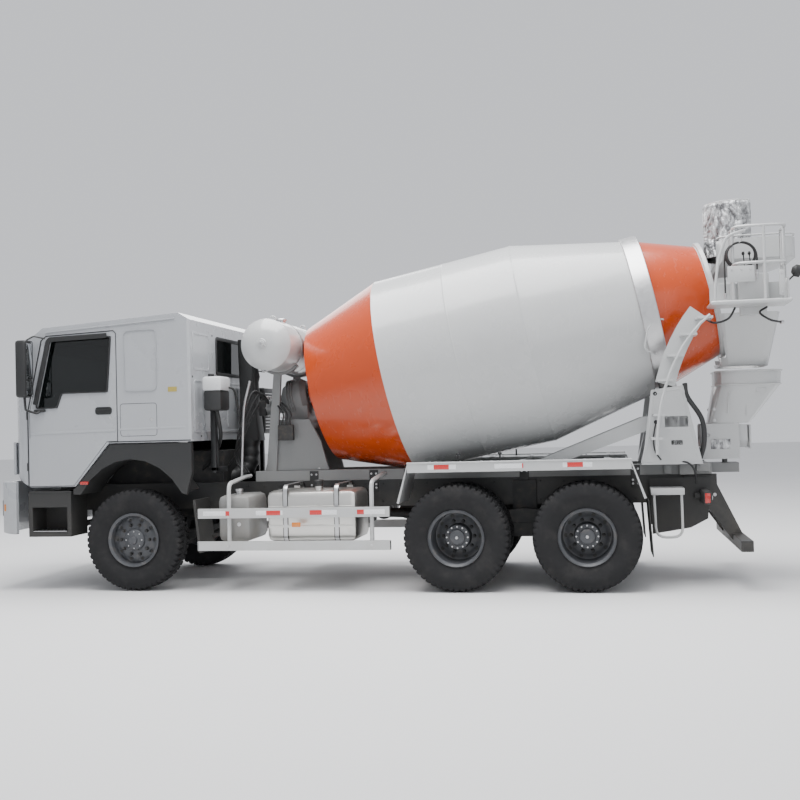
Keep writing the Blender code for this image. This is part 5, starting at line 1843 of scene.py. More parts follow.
class MIXER_OT_chassis(bpy.types.Operator):
    """Builds the straps, caps, air tanks, brake chambers, shafts, bolts and brake lines of the chassis"""

    bl_idname = "mixer.chassis"
    bl_label = "Chassis"

    def execute(self, context):
        low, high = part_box("fuel_tank")
        s0, s1 = AXLE_X - high.x, AXLE_X - low.x
        ring = rounded_section(high.y - low.y, high.z - low.z, 0.075, 5) + (
            (low.y + high.y) / 2, (low.z + high.z) / 2
        )
        for wide, proud, make, name in (
            (0.060, 0.004, black_plastic, "rubber"), (0.044, 0.007, bright_steel, "strap")
        ):
            bands = []
            for s in (s0 + 0.22, s1 - 0.22):
                path = np.stack([np.full(len(ring), AXLE_X - s), ring[:, 0], ring[:, 1]], -1)
                bands.append(swept(path, rounded_section(proud * 2, wide, 0.002), up=(1, 0, 0), loop=True))
            piece(f"fuel_tank_{name}s", together(bands), ROOT, make())
        ribs = together(
            strip(
                np.linspace(at(s0 + 0.03, high.y + 0.001, z), at(s1 - 0.03, high.y + 0.001, z), 10), 0.03,
                0.010
            )
            for z in (0.70, 0.90)
        )
        piece("fuel_tank_swages", ribs, ROOT, aluminium())
        cap = turned(
            [
                (-0.02, 0.045), (0.020, 0.045), (0.022, 0.052), (0.042, 0.052), (0.050, 0.044),
                (0.051, 0.001)
            ],
            at(2.10, 0.98, high.z), (0, 0, 1), 36
        )
        piece("fuel_cap", cap, ROOT, black_plastic())
        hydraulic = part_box("hydraulic_tank")
        mid = (hydraulic[0] + hydraulic[1]) / 2
        breather = turned(
            [(-0.01, 0.035), (0.03, 0.035), (0.035, 0.045), (0.06, 0.045), (0.066, 0.001)],
            (mid.x, mid.y + 0.15, hydraulic[1].z), (0, 0, 1), 30
        )
        glass = turned(
            [(0, 0.022), (0.006, 0.022), (0.009, 0.014), (0.006, 0.001)],
            (mid.x - 0.06, hydraulic[1].y, mid.z - 0.06), (0, 1, 0), 24
        )
        piece("hydraulic_breather", breather + glass, ROOT, bright_steel())
        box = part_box("battery_box")
        lid = brick(
            box[0] + Vector((-0.006, -0.008, box[1].z - box[0].z - 0.09)),
            box[1] + Vector((0.006, 0.004, 0.008)), 0.02
        )
        catches = together(
            brick(
                (x - 0.02, box[0].y - 0.018, box[1].z - 0.13),
                (x + 0.02, box[0].y - 0.003, box[1].z - 0.05), 0.006
            )
            for x in (box[0].x + 0.15, box[1].x - 0.15)
        )
        piece("battery_lid", lid, ROOT, black_plastic())
        piece("battery_catches", catches, ROOT, bright_steel())
        for side, y, stations in (("right", -0.78, (2.50, 2.80)),):
            for k, s in enumerate(stations):
                can = [
                    (-0.27, 0.001), (-0.27, 0.04), (-0.255, 0.085), (-0.23, 0.105), (0.23, 0.105),
                    (0.255, 0.085), (0.27, 0.04), (0.27, 0.001)
                ]
                tank = turned(can, at(s, y, 0.72), (0, 1, 0), 40)
                clamps = together(
                    turned(
                        [(c - 0.014, 0.105), (c - 0.014, 0.110), (c + 0.014, 0.110), (c + 0.014, 0.105)],
                        at(s, y, 0.72), (0, 1, 0), 40, closed=True
                    )
                    for c in (-0.14, 0.14)
                )
                piece(f"air_tank_{side}_{k + 1}", tank, ROOT, black_paint())
                piece(f"air_tank_clamps_{side}_{k + 1}", clamps, ROOT, bright_steel())
                hanger = bar(
                    (s - 0.03, y + 0.02, 0.81), (s + 0.03, y + 0.30, 0.84)
                ) + bar((s - 0.03, y + 0.26, 0.81), (s + 0.03, y + 0.43, 0.92))
                piece(f"air_tank_hanger_{side}_{k + 1}", hanger, ROOT, black_paint())
        for place, station in DRIVE_STATIONS:
            for name, sign in SIDES:
                chamber = [
                    (0, 0.001), (0, 0.060), (0.02, 0.078), (0.06, 0.082), (0.066, 0.090), (0.074, 0.090),
                    (0.08, 0.082), (0.13, 0.076), (0.15, 0.04), (0.152, 0.001)
                ]
                can = turned(chamber, at(station + 0.20, sign * 0.40, 0.66), (-1, 0, 0.15), 32)
                piece(f"brake_chamber_{place}_{name}", can, ROOT, black_paint())
        shafts = [
            (at(1.10, 0, 0.80), at(3.30, 0, 0.72), 0.055),
            (at(3.93, 0, 0.68), at(4.68, 0, 0.68), 0.048),
        ]
        for k, (start, end, r) in enumerate(shafts):
            length = np.linalg.norm(end - start)
            profile = [
                (0, 0.001), (0, 0.075), (0.02, 0.078), (0.03, 0.045), (0.09, 0.04), (0.12, r),
                (length - 0.12, r), (length - 0.09, 0.04), (length - 0.03, 0.045), (length - 0.02, 0.078),
                (length, 0.075), (length, 0.001)
            ]
            piece(f"propeller_shaft_{k + 1}", turned(profile, start, end - start, 28), ROOT, cast_iron())
        rail_stations = np.concatenate([np.linspace(0.9, 2.9, 11), np.linspace(3.2, 6.0, 12)])
        web = together(
            bolts_at([at(s, 0.43, z) for s in rail_stations], (0, 1, 0), 0.011, 0.009) for z in (0.90, 1.10)
        )
        piece("frame_bolts", both(web), ROOT, cast_iron())
        brackets = both(
            together(
                bar((s - 0.05, 0.426, 1.02), (s + 0.05, 0.440, 1.26)) for s in (1.9, 2.6, 3.0, 4.3, 5.5)
            )
        )
        piece("subframe_brackets", brackets, ROOT, black_paint())
        heads = both(
            together(
                bolts_at(
                    [at(s + d, 0.440, z) for d in (-0.028, 0.028) for z in (1.06, 1.10, 1.22)], (0, 1, 0),
                    0.009, 0.007
                )
                for s in (1.9, 2.6, 3.0, 4.3, 5.5)
            )
        )
        piece("subframe_bracket_bolts", heads, ROOT, bright_steel())
        for k, y in enumerate((0.395, 0.41)):
            hose(
                [
                    at(0.9, y - 0.02, 1.12 - 0.03 * k), at(2.0, y - 0.10, 1.05), at(3.1, y - 0.11, 1.04),
                    at(4.2, y - 0.10, 1.02), at(5.4, y - 0.10, 1.03), at(6.3, y - 0.12, 0.98)
                ],
                0.012, f"brake_line_{k + 1}"
            )
        return {"FINISHED"}


class MIXER_OT_side_fittings(bpy.types.Operator):
    """Builds the reflective strips, marker lamps, bolts and flaps along the sides"""

    bl_idname = "mixer.side_fittings"
    bl_label = "Side fittings"

    def execute(self, context):
        for name, sign in SIDES:
            fit = side_fitter(name, sign)
            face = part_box(f"side_guard_{name}")
            y = max(abs(face[0].y), abs(face[1].y))
            tape = together(
                bar((s, y, 0.828), (s + 0.30, y + 0.0016, 0.878), 0.0006) for s in (0.86, 1.46, 2.06, 2.58)
            )
            fit("guard_tape", tape, ROOT, reflective_tape)
            lamp_body = brick(at(1.96, y, 0.70), at(1.86, y + 0.012, 0.75), 0.006)
            piece(f"guard_lamp_{name}", lamp_body.mirrored(sign), ROOT, lens("amber"))
            ends = bolts_at(
                [at(s, y, z) for s in (1.14, 2.73) for z in (0.50, 0.815)], (0, 1, 0), 0.010, 0.007
            )
            fit("guard_bolts", ends, ROOT, bright_steel)
            caps = together(
                bar((s, y - 0.038, z0), (s + 0.006, y + 0.001, z1), 0.002) for s in (0.795, 2.929) for z0,
                z1 in ((0.803, 0.902), (0.453, 0.547))
            )
            fit("guard_end_caps", caps, ROOT, black_plastic)
            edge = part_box(f"rear_fender_{name}")
            y = max(abs(edge[0].y), abs(edge[1].y))
            strips = together(
                bar((s, y, 1.285), (s + 0.30, y + 0.0016, 1.335), 0.0006) for s in (3.35, 4.05, 4.75)
            )
            fit("fender_tape", strips, ROOT, reflective_tape)
            lip = tube([at(3.13, y + 0.004, 1.357), at(5.44, y + 0.004, 1.357)], 0.007, 0)
            fit("fender_rolled_edge", lip, ROOT, white_paint)
            fender_bolts = bolts_at(
                [at(s, 0.75, 1.346) for s in np.linspace(3.3, 5.3, 7)], (0, 0, 1), 0.010, 0.007
            )
            fit("fender_bolts", fender_bolts, ROOT, bright_steel)
            posts = together(
                rod(at(s, 1.12, 1.34), at(s, 1.12, 1.435), 0.010, edge=0.003) + turned(
                    [(0, 0.001), (0, 0.02), (0.006, 0.024), (0.018, 0.02), (0.022, 0.001)],
                    at(s, 1.12, 1.43), (0, 0, 1), 20
                )
                for s in (3.66, 4.10)
            )
            fit("fender_posts", posts, ROOT, black_plastic)
            ribs = together(
                bar((s, 0.62, 1.344), (s + 0.05, 1.20, 1.352), 0.003) for s in np.linspace(3.35, 5.2, 5)
            )
            fit("fender_ribs", ribs, ROOT, white_paint)
            flap = strip(
                np.linspace(at(5.60, 0.92, 0.93), at(5.63, 0.92, 0.36), 10), 0.56, 0.010, (1, 0, 0)
            )
            fit("mud_flap", flap, ROOT, black_plastic)
        return {"FINISHED"}


# Rear

GUARD_CENTRE = (6.66, 0.0)
COIL_CENTRE = (6.60, 0.985, 3.40)
HOSE_DIAMETER = 0.017


def creased(across_it, up_it, depth):
    """Creases on a tight film: ridges at three sizes, bent by slower waves."""
    u = across_it * 7 + 2.1 * np.sin(up_it * 9 + 1.9 * np.sin(across_it * 3.1))
    v = up_it * 13 + 2.6 * np.sin(across_it * 4.3 + 1.4 * np.sin(up_it * 6.7))
    folds = 0.55 * np.abs(np.sin(u + 0.4 * v)) ** 0.7
    folds += 0.30 * np.abs(np.sin(1.9 * v - 1.3 * u + 1.0)) ** 0.8
    folds += 0.15 * np.abs(np.sin(3.7 * u + 2.9 * v))
    return depth * folds


def film_piece(name, points, body):
    """A wrapped film: the grid of points as one thin sheet."""
    surface = lattice(points, round_columns=False)
    obj = piece(name, surface, body, silver_film(), "white_paint", sharp=70)
    skin = obj.modifiers.new("film_thickness", "SOLIDIFY")
    skin.thickness, skin.offset = 0.0008, 1.0
    return obj


def rolled_rim(z, station_from, station_to, half_width, corner, radius):
    """A round bead along a rectangle with rounded corners at one height."""
    middle = ((station_from + station_to) / 2, 0)
    ring = rounded_section(station_to - station_from, 2 * half_width, corner, 8) + middle
    path = np.stack([AXLE_X - ring[:, 0], ring[:, 1], np.full(len(ring), z)], -1)
    return swept(path, circle(radius, 10), loop=True)


def hung_coil():
    """The route of the wash hose: up from its tap, three and a half turns, and a hanging end."""
    turn = np.linspace(0, math.tau * 3.5, 130)
    reach = 0.155 + 0.008 * np.sin(turn * 0.29)
    drift = np.linspace(-0.055, 0.045, len(turn))
    ring = at(*COIL_CENTRE) + np.stack([reach * np.cos(turn), drift, reach * 0.92 * np.sin(turn)], -1)
    rise = ring[0] + np.outer(np.linspace(-0.38, -0.01, 16), (0, 0, 1))
    hang = ring[-1] + np.outer(np.linspace(0.01, 0.17, 9), (0.05, 0.06, -1))
    path = np.concatenate([rise, ring, hang])
    for _ in range(12):
        path[1:-1] += ((path[:-2] + path[2:]) / 2 - path[1:-1]) * 0.5
    return path


class MIXER_OT_hoppers(bpy.types.Operator):
    """Builds the rims, fittings, pins and wrapping film of the hoppers and the chute"""

    bl_idname = "mixer.hoppers"
    bl_label = "Hoppers and chute"

    def execute(self, context):
        angle, height = np.meshgrid(
            np.radians(np.linspace(62, 298, 150)), np.linspace(3.50, 4.104, 72), indexing="ij"
        )
        lift = creased(angle, height, 0.020) * np.clip((4.104 - height) / 0.03, 0.1, 1)
        reach = 0.307 + lift + 0.02 * np.clip((3.62 - height) / 0.12, 0, 1)
        guard = np.stack(
            [
                AXLE_X - GUARD_CENTRE[0] - reach * np.cos(angle), GUARD_CENTRE[1] + reach * np.sin(angle),
                height
            ],
            -1
        )
        film_piece("spout_film", guard, ROOT)
        low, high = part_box("chute_main")
        piece("feed_hopper_rim", rolled_rim(3.688, 6.448, 7.242, 0.452, 0.15, 0.010), ROOT, white_paint())
        rims = rolled_rim(
            2.247, 6.385, 7.095, 0.345, 0.20, 0.009
        ) + rolled_rim(2.10, 6.388, 7.082, 0.343, 0.20, 0.009)
        piece("basin_rim", rims, "chute_swivel", white_paint())
        latch = both(
            tube(
                [
                    at(6.52, 0.335, 2.02), at(6.515, 0.352, 2.02), at(6.50, 0.30, 1.80),
                    at(6.50, 0.285, 1.80)
                ],
                0.008, 0.01
            )
        )
        hatch = both(
            strip([at(6.80, 0.325, 2.03), at(6.90, 0.330, 2.03)], 0.05, 0.008)
            + strip(np.linspace(at(6.70, 0.30, 2.00), at(6.70, 0.258, 1.76), 6), 0.016, 0.010)
        )
        piece("basin_fittings", latch + hatch, "chute_swivel", white_paint())
        span, wide = high - low, high.y - low.y
        corners = np.linspace(0, 1, 60)
        x = high.x - 0.10 - span.x * 0.42 * corners
        x_grid, s_grid = np.meshgrid(x, np.linspace(-1, 1, 44), indexing="ij")
        y = np.clip(s_grid * 1.35, -1, 1) * (wide / 2 + 0.005)
        drop = low.z - 0.006 - creased(x_grid * 3, s_grid * 2, 0.018)
        side = np.clip((np.abs(s_grid) - 0.74) / 0.26, 0, 1)
        z = drop + side * 0.11
        y = y + np.sign(s_grid) * side * creased(x_grid * 4, s_grid * 3, 0.006)
        film_piece("chute_film", np.stack([x_grid, y, z], -1), "chute_main")
        places = [at(6.36, 0.30, z) for z in (1.72, 1.84)]
        piece("chute_pins", both(bolts_at(places, (0, 1, 0), 0.012, 0.010)), "chute_swivel", bright_steel())
        return {"FINISHED"}


class MIXER_OT_platform_fittings(bpy.types.Operator):
    """Builds the wash hose, lamp, boxes, levers and hoses of the platform"""

    bl_idname = "mixer.platform_fittings"
    bl_label = "Platform fittings"

    def execute(self, context):
        path = hung_coil()
        coil = piece(
            "wash_hose", swept(path, circle(HOSE_DIAMETER / 2, 12), (0.02, 1, 0.03)), ROOT, hose_rubber(),
            "black_plastic"
        )
        end = path[-1]
        away = (path[-1] - path[-2]) / np.linalg.norm(path[-1] - path[-2])
        nozzle = turned(
            [
                (-0.004, 0.001), (-0.004, 0.012), (0.03, 0.012), (0.034, 0.016), (0.05, 0.016),
                (0.06, 0.009), (0.10, 0.007), (0.10, 0.001)
            ],
            end, away, 20
        )
        tip = piece("wash_hose_nozzle", nozzle, ROOT, bright_steel())
        tap = turned(
            [(-0.05, 0.012), (-0.02, 0.012), (-0.018, 0.018), (0.0, 0.018), (0.002, 0.009), (0.002, 0.001)],
            path[0], (0, 0, 1), 18
        )
        piece("wash_tap", tap, ROOT, bright_steel())
        hook = tube(
            [at(6.53, 0.84, 3.535), at(6.56, 0.94, 3.528), at(6.60, 1.08, 3.528), at(6.60, 1.09, 3.56)],
            0.007, 0.02
        )
        piece("hose_hook", hook, ROOT, white_paint())
        board = bar(
            (6.44, 1.196, 3.10), (6.70, 1.206, 3.26)
        ) + bar((6.93, 1.19, 2.95), (6.985, 1.212, 3.20))
        board = board + bar((6.58, 0.80, 2.93), (6.88, 0.90, 3.22), 0.012)
        piece("platform_boxes", board, ROOT, white_paint(), edge=0.002)
        screws = bolts_at(
            [at(s, 1.206, 3.225) for s in (6.48, 6.57, 6.66)] + [at(6.957, 1.212, z) for z in (2.98, 3.17)],
            (0, 1, 0), 0.008, 0.006
        )
        piece("platform_box_bolts", screws, ROOT, bright_steel())
        levers = together(
            tube([at(s, 0.86, 3.21), at(s - 0.02, 0.88, 3.42)], 0.006, 0) + turned(
                [(-0.02, 0.001), (-0.018, 0.010), (0, 0.017), (0.018, 0.010), (0.02, 0.001)],
                at(s - 0.022, 0.882, 3.43), (0, 0, 1), 18
            )
            for s in (6.66, 6.72, 6.78)
        )
        piece("control_levers", levers, ROOT, black_plastic())
        lamp("work_lamp", at(7.10, 1.10, 3.20), (-1, 0, -0.25), 0.055, ROOT, "clear", 0.05)
        arm = tube([at(7.03, 1.16, 3.10), at(7.06, 1.14, 3.13), at(7.10, 1.10, 3.16)], 0.009, 0.01)
        back = turned(
            [(-0.035, 0.001), (-0.03, 0.03), (0.0, 0.060), (0.01, 0.061)], at(7.10, 1.10, 3.20),
            (-1, 0, -0.25), 28
        )
        piece("work_lamp_arm", arm + back, ROOT, black_plastic())
        dots = [at(s, y, 2.921) for s in np.linspace(6.36, 6.96, 9) for y in np.linspace(0.86, 1.14, 5)]
        studs = together(
            turned([(-0.001, 0.016), (0.002, 0.014), (0.004, 0.006), (0.004, 0.001)], place, (0, 0, 1), 8)
            for place in dots
        )
        piece("platform_grip_studs", studs, ROOT, white_paint())
        hose(
            [at(6.24, 0.86, 2.78), at(6.32, 0.98, 2.72), at(6.45, 1.05, 2.75), at(6.52, 1.08, 2.86)], 0.011,
            "platform_hose_front"
        )
        hose(
            [at(6.84, 0.98, 2.86), at(6.76, 1.04, 2.80), at(6.85, 1.08, 2.72), at(6.98, 0.96, 2.70)], 0.011,
            "platform_hose_rear"
        )
        ends = turned(
            [(0, 0.001), (0, 0.02), (0.03, 0.02), (0.034, 0.001)], at(6.97, 0.96, 2.70), (-1, -0.4, 0), 18
        )
        piece("platform_hose_end", ends, ROOT, bright_steel())
        return {"FINISHED"}


class MIXER_OT_stand_fittings(bpy.types.Operator):
    """Builds the hoses, handles, plates, step and bolts of the rear stand"""

    bl_idname = "mixer.stand_fittings"
    bl_label = "Rear stand fittings"

    def execute(self, context):
        y = 0.716
        hose(
            [
                at(6.03, 0.68, 2.12), at(6.05, 0.70, 1.98), at(6.19, 0.70, 1.74), at(6.21, 0.68, 1.50),
                at(6.17, 0.62, 1.33)
            ],
            0.026, "stand_main_hose", sides=20
        )
        hose(
            [
                at(5.72, y + 0.012, 1.72), at(5.69, y + 0.03, 1.56), at(5.70, y + 0.03, 1.42),
                at(5.76, y - 0.0, 1.32)
            ],
            0.008, "stand_cable"
        )
        hose(
            [at(5.86, 0.66, 1.30), at(6.02, 0.72, 1.29), at(6.10, 0.70, 1.20), at(6.12, 0.55, 1.06)], 0.010,
            "deck_cable"
        )
        plate = sheet_between(rounded_section(0.24, 0.115, 0.006) + (5.93, 1.72), y, y + 0.002)
        piece("stand_blank_plate", plate, ROOT, blank_plate())
        plate_screws = bolts_at(
            [at(s, y + 0.001, z) for s in (5.83, 6.03) for z in (1.68, 1.76)], (0, 1, 0), 0.005, 0.003
        )
        piece("stand_plate_screws", plate_screws, ROOT, bright_steel())
        slot = sheet_between(rounded_section(0.12, 0.05, 0.008) + (5.93, 1.50), y - 0.002, y + 0.002)
        eye = turned(
            [(0, 0.022), (0.004, 0.022), (0.005, 0.012), (0.002, 0.001)], at(5.72, y, 2.02), (0, 1, 0), 22
        )
        eye = eye + turned(
            [(0, 0.022), (0.004, 0.022), (0.005, 0.012), (0.002, 0.001)], at(5.72, y, 1.72), (0, 1, 0), 22
        )
        piece("stand_slots", both(slot + eye), ROOT, black_plastic())
        swage = both(
            strip(
                eased_path(
                    [at(5.60, y, 1.33), at(5.71, y, 2.02), at(5.995, y, 2.07), at(6.14, y, 1.33)], 0.05, 6
                ),
                0.016, 0.008
            )
        )
        piece("stand_edge_swage", swage, ROOT, white_paint())
        loop = [
            at(5.88, 0.70, 2.78), at(5.79, 0.86, 2.80), at(5.66, 0.88, 2.72), at(5.62, 0.88, 2.48),
            at(5.70, 0.84, 2.44), at(5.76, 0.71, 2.44)
        ]
        piece("drum_side_handle", tube(loop, 0.010, 0.06), ROOT, white_paint())
        shelf = bar(
            (5.64, 0.55, 0.96), (5.98, 0.86, 1.03), 0.006
        ) + bar((5.66, 0.43, 0.98), (5.72, 0.56, 1.02)) + bar((5.90, 0.43, 0.98), (5.96, 0.56, 1.02))
        legs = tube(
            [at(5.67, 0.83, 1.0), at(5.68, 0.84, 0.52), at(5.95, 0.84, 0.52), at(5.95, 0.83, 1.0)], 0.014,
            0.10, 14
        )
        piece("rear_step", both(shelf + legs), ROOT, white_paint(), edge=0.0015)
        skirt = sheet_between(
            ((5.64, 1.12), (6.28, 1.12), (6.24, 0.68), (6.06, 0.585), (5.66, 0.52)), 0.500, 0.510
        )
        piece("rear_skirts", both(skirt), ROOT, black_plastic())
        boxes = bar(
            (5.96, 0.44, 1.15), (6.12, 0.50, 1.262), 0.006
        ) + bar((6.14, 0.44, 1.18), (6.28, 0.47, 1.268), 0.004)
        boxes = boxes + bar((5.80, 0.44, 1.16), (5.88, 0.475, 1.262), 0.004)
        piece("deck_side_boxes", both(boxes), ROOT, grey_paint(), edge=0.002)
        arm_bolts = bolts_at(
            [at(s, 0.468, z) for s, z in ((6.24, 1.06), (6.20, 0.98), (6.32, 0.93))], (0, 1, 0), 0.014,
            0.011
        )
        piece("rear_arm_bolts", both(arm_bolts), ROOT, bright_steel())
        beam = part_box("rear_bumper")
        tail = beam[0].x
        tape = together(
            brick((tail - 0.0016, k - 0.17, 0.425), (tail + 0.001, k + 0.17, 0.485), 0.0006)
            for k in (-0.92, -0.46, 0.0, 0.46, 0.92)
        )
        piece("bumper_tape", tape, ROOT, reflective_tape())
        side = together(
            brick((tail + 0.01, sign * 1.148, 0.415), (tail + 0.10, sign * 1.152, 0.495), 0.001)
            for sign in (1, -1)
        )
        piece("bumper_end_caps", side, ROOT, black_plastic())
        for name, sign in SIDES:
            holder = brick(at(6.235, sign * 0.52, 0.86), at(6.16, sign * 0.98, 1.00), 0.012)
            bracket = bar(
                (6.10, min(sign * 0.44, sign * 0.60), 0.90), (6.17, max(sign * 0.44, sign * 0.60), 0.96)
            )
            piece(f"tail_lamp_box_{name}", holder + bracket, ROOT, black_plastic())
            for k, (offset, hue) in enumerate(
                ((0.60, "red"), (0.71, "red"), (0.81, "amber"), (0.91, "clear"))
            ):
                lamp(
                    f"tail_lamp_{name}_{k + 1}", at(6.232, sign * offset, 0.93), (-1, 0, 0), 0.038, ROOT,
                    hue, 0.010
                )
            side_lens = brick(at(6.225, sign * 0.978, 0.88), at(6.17, sign * 0.988, 0.98), 0.006)
            piece(f"tail_side_lens_{name}", side_lens, ROOT, lens("red"))
            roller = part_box(f"roller_{name}")
            middle = (roller[0] + roller[1]) / 2
            cap = turned(
                [(0, 0.034), (0.008, 0.034), (0.010, 0.028), (0.004, 0.001)],
                np.array(middle) - DRUM_AXIS * ((roller[1] - roller[0]).x / 2 + 0.001), -DRUM_AXIS, 24
            )
            piece(f"roller_cap_{name}", cap, f"roller_{name}", bright_steel())
        number = brick(at(6.512, -0.26, 0.60), at(6.505, 0.26, 0.72), 0.003)
        hanger = bar(
            (6.47, -0.20, 0.58), (6.505, -0.16, 0.74)
        ) + bar((6.47, 0.16, 0.58), (6.505, 0.20, 0.74)) + bar((6.40, -0.24, 0.72), (6.50, 0.24, 0.75))
        piece("rear_blank_plate", number, ROOT, blank_plate())
        cross = bar((6.30, -0.43, 0.72), (6.42, 0.43, 0.80))
        piece("rear_plate_holder", hanger + cross, ROOT, black_paint())
        return {"FINISHED"}


# Cab interior

CUSHION_VOXEL = 0.006
SIM_FRAMES = 20


def pillow(low, high, crown, corner=0.05, rows=26, columns=44):
    """A closed pad between two corners: rounded in plan, pulled in at its rim and crowned over its top.

    At height share h the outline is scaled by (1 - (2h - 1)^4 * 0.10), and the upper half gains crown *
    (1 - x^4)(1 - y^4) of lift, where x and y run from -1 to 1 over the plan.
    """
    low, high = np.asarray(low, float), np.asarray(high, float)
    middle, half = (low + high) / 2, (high - low) / 2
    outline = rounded_section(2 * half[0], 2 * half[1], corner, columns // 4)
    share = np.linspace(0, 1, rows)[:, None]
    squeeze = 1 - (2 * share - 1) ** 4 * 0.10
    plan = outline[None] * squeeze[..., None]
    points = np.concatenate(
        [plan, np.broadcast_to(low[2] + share * 2 * half[2], plan.shape[:2])[..., None]], -1
    )
    points[..., :2] += middle[:2]
    lid = []
    rim = points[-1]
    for inward in np.linspace(0.92, 0.0, 12):
        ring = rim.copy()
        ring[:, :2] = middle[:2] + (rim[:, :2] - middle[:2]) * max(inward, 0.02)
        x, y = ((ring[:, k] - middle[k]) / half[k] for k in (0, 1))
        ring[:, 2] = high[2] + crown * (1 - x**4) * (1 - y**4)
        lid.append(ring)
    return lattice(np.concatenate([points, np.array(lid)]))


def puffed(name, surface, cap, voxel=CUSHION_VOXEL):
    """The pad blown up by cloth simulation, with no point moved further than a cap."""
    mesh = mesh_from(name, surface)
    obj = bpy.data.objects.new(name, mesh)
    bpy.context.scene.collection.objects.link(obj)
    remesh = obj.modifiers.new("even_faces", "REMESH")
    remesh.mode, remesh.voxel_size = "VOXEL", voxel * 1
    baked = bpy.data.meshes.new_from_object(obj.evaluated_get(bpy.context.evaluated_depsgraph_get()))
    obj.modifiers.clear()
    obj.data = baked
    before = np.empty(len(baked.vertices) * 3, np.float32)
    baked.vertices.foreach_get("co", before)
    cloth = obj.modifiers.new("swell", "CLOTH")
    cloth.settings.use_pressure = True
    cloth.settings.uniform_pressure_force = 4.0
    cloth.settings.effector_weights.gravity = 0.0
    cloth.settings.quality = 4
    cloth.point_cache.frame_start, cloth.point_cache.frame_end = 1, SIM_FRAMES
    scene = bpy.context.scene
    for number in range(1, SIM_FRAMES + 1):
        scene.frame_set(number)
    swollen = bpy.data.meshes.new_from_object(obj.evaluated_get(bpy.context.evaluated_depsgraph_get()))
    obj.modifiers.clear()
    after = np.empty_like(before)
    swollen.vertices.foreach_get("co", after)
    move = (after - before).reshape(-1, 3)
    length = np.linalg.norm(move, axis=1, keepdims=True)
    move *= np.minimum(1.0, cap / np.maximum(length, 1e-9))
    after = before + move.ravel()
    swollen.vertices.foreach_set("co", after)
    obj.data = swollen
    scene.frame_set(1)
    return obj


def sew(obj, lines, depth=0.007, width=0.010):
    """Presses seams into a pad: points near a line sink along their normals."""
    mesh = obj.data
    points = np.empty(len(mesh.vertices) * 3, np.float32)
    normals = np.empty_like(points)
    mesh.vertices.foreach_get("co", points)
    mesh.vertex_normals.foreach_get("vector", normals)
    points, normals = points.reshape(-1, 3), normals.reshape(-1, 3)
    for axis, level in lines:
        points -= normals * (depth * np.exp(-(((points[:, axis] - level) / width) ** 2)))[:, None]
    mesh.vertices.foreach_set("co", points.ravel())


PADS = {}


def upholstered(
    name, surface, body, lines, stands_for=(), tilt=None, cap=0.022, voxel=CUSHION_VOXEL, like=None
):
    """A padded piece: swollen, sewn, turned to its lean and given one subdivision.

    A pad that is like an earlier one takes a copy of its swollen shape instead.
    """
    if like in PADS:
        obj = bpy.data.objects.new(name, PADS[like].copy())
        bpy.context.scene.collection.objects.link(obj)
    else:
        obj = puffed(name, surface, cap, voxel)
        sew(obj, lines)
        PADS[like or name] = obj.data.copy()
    if tilt is not None:
        obj.data.transform(tilt)
    obj.data.materials.clear()
    obj.data.materials.append(seat_cloth())
    shade(obj.data, 60)
    smooth = obj.modifiers.new("smooth_pad", "SUBSURF")
    smooth.levels = smooth.render_levels = 1
    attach(obj, body)
    if stands_for:
        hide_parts(*stands_for)
    return obj


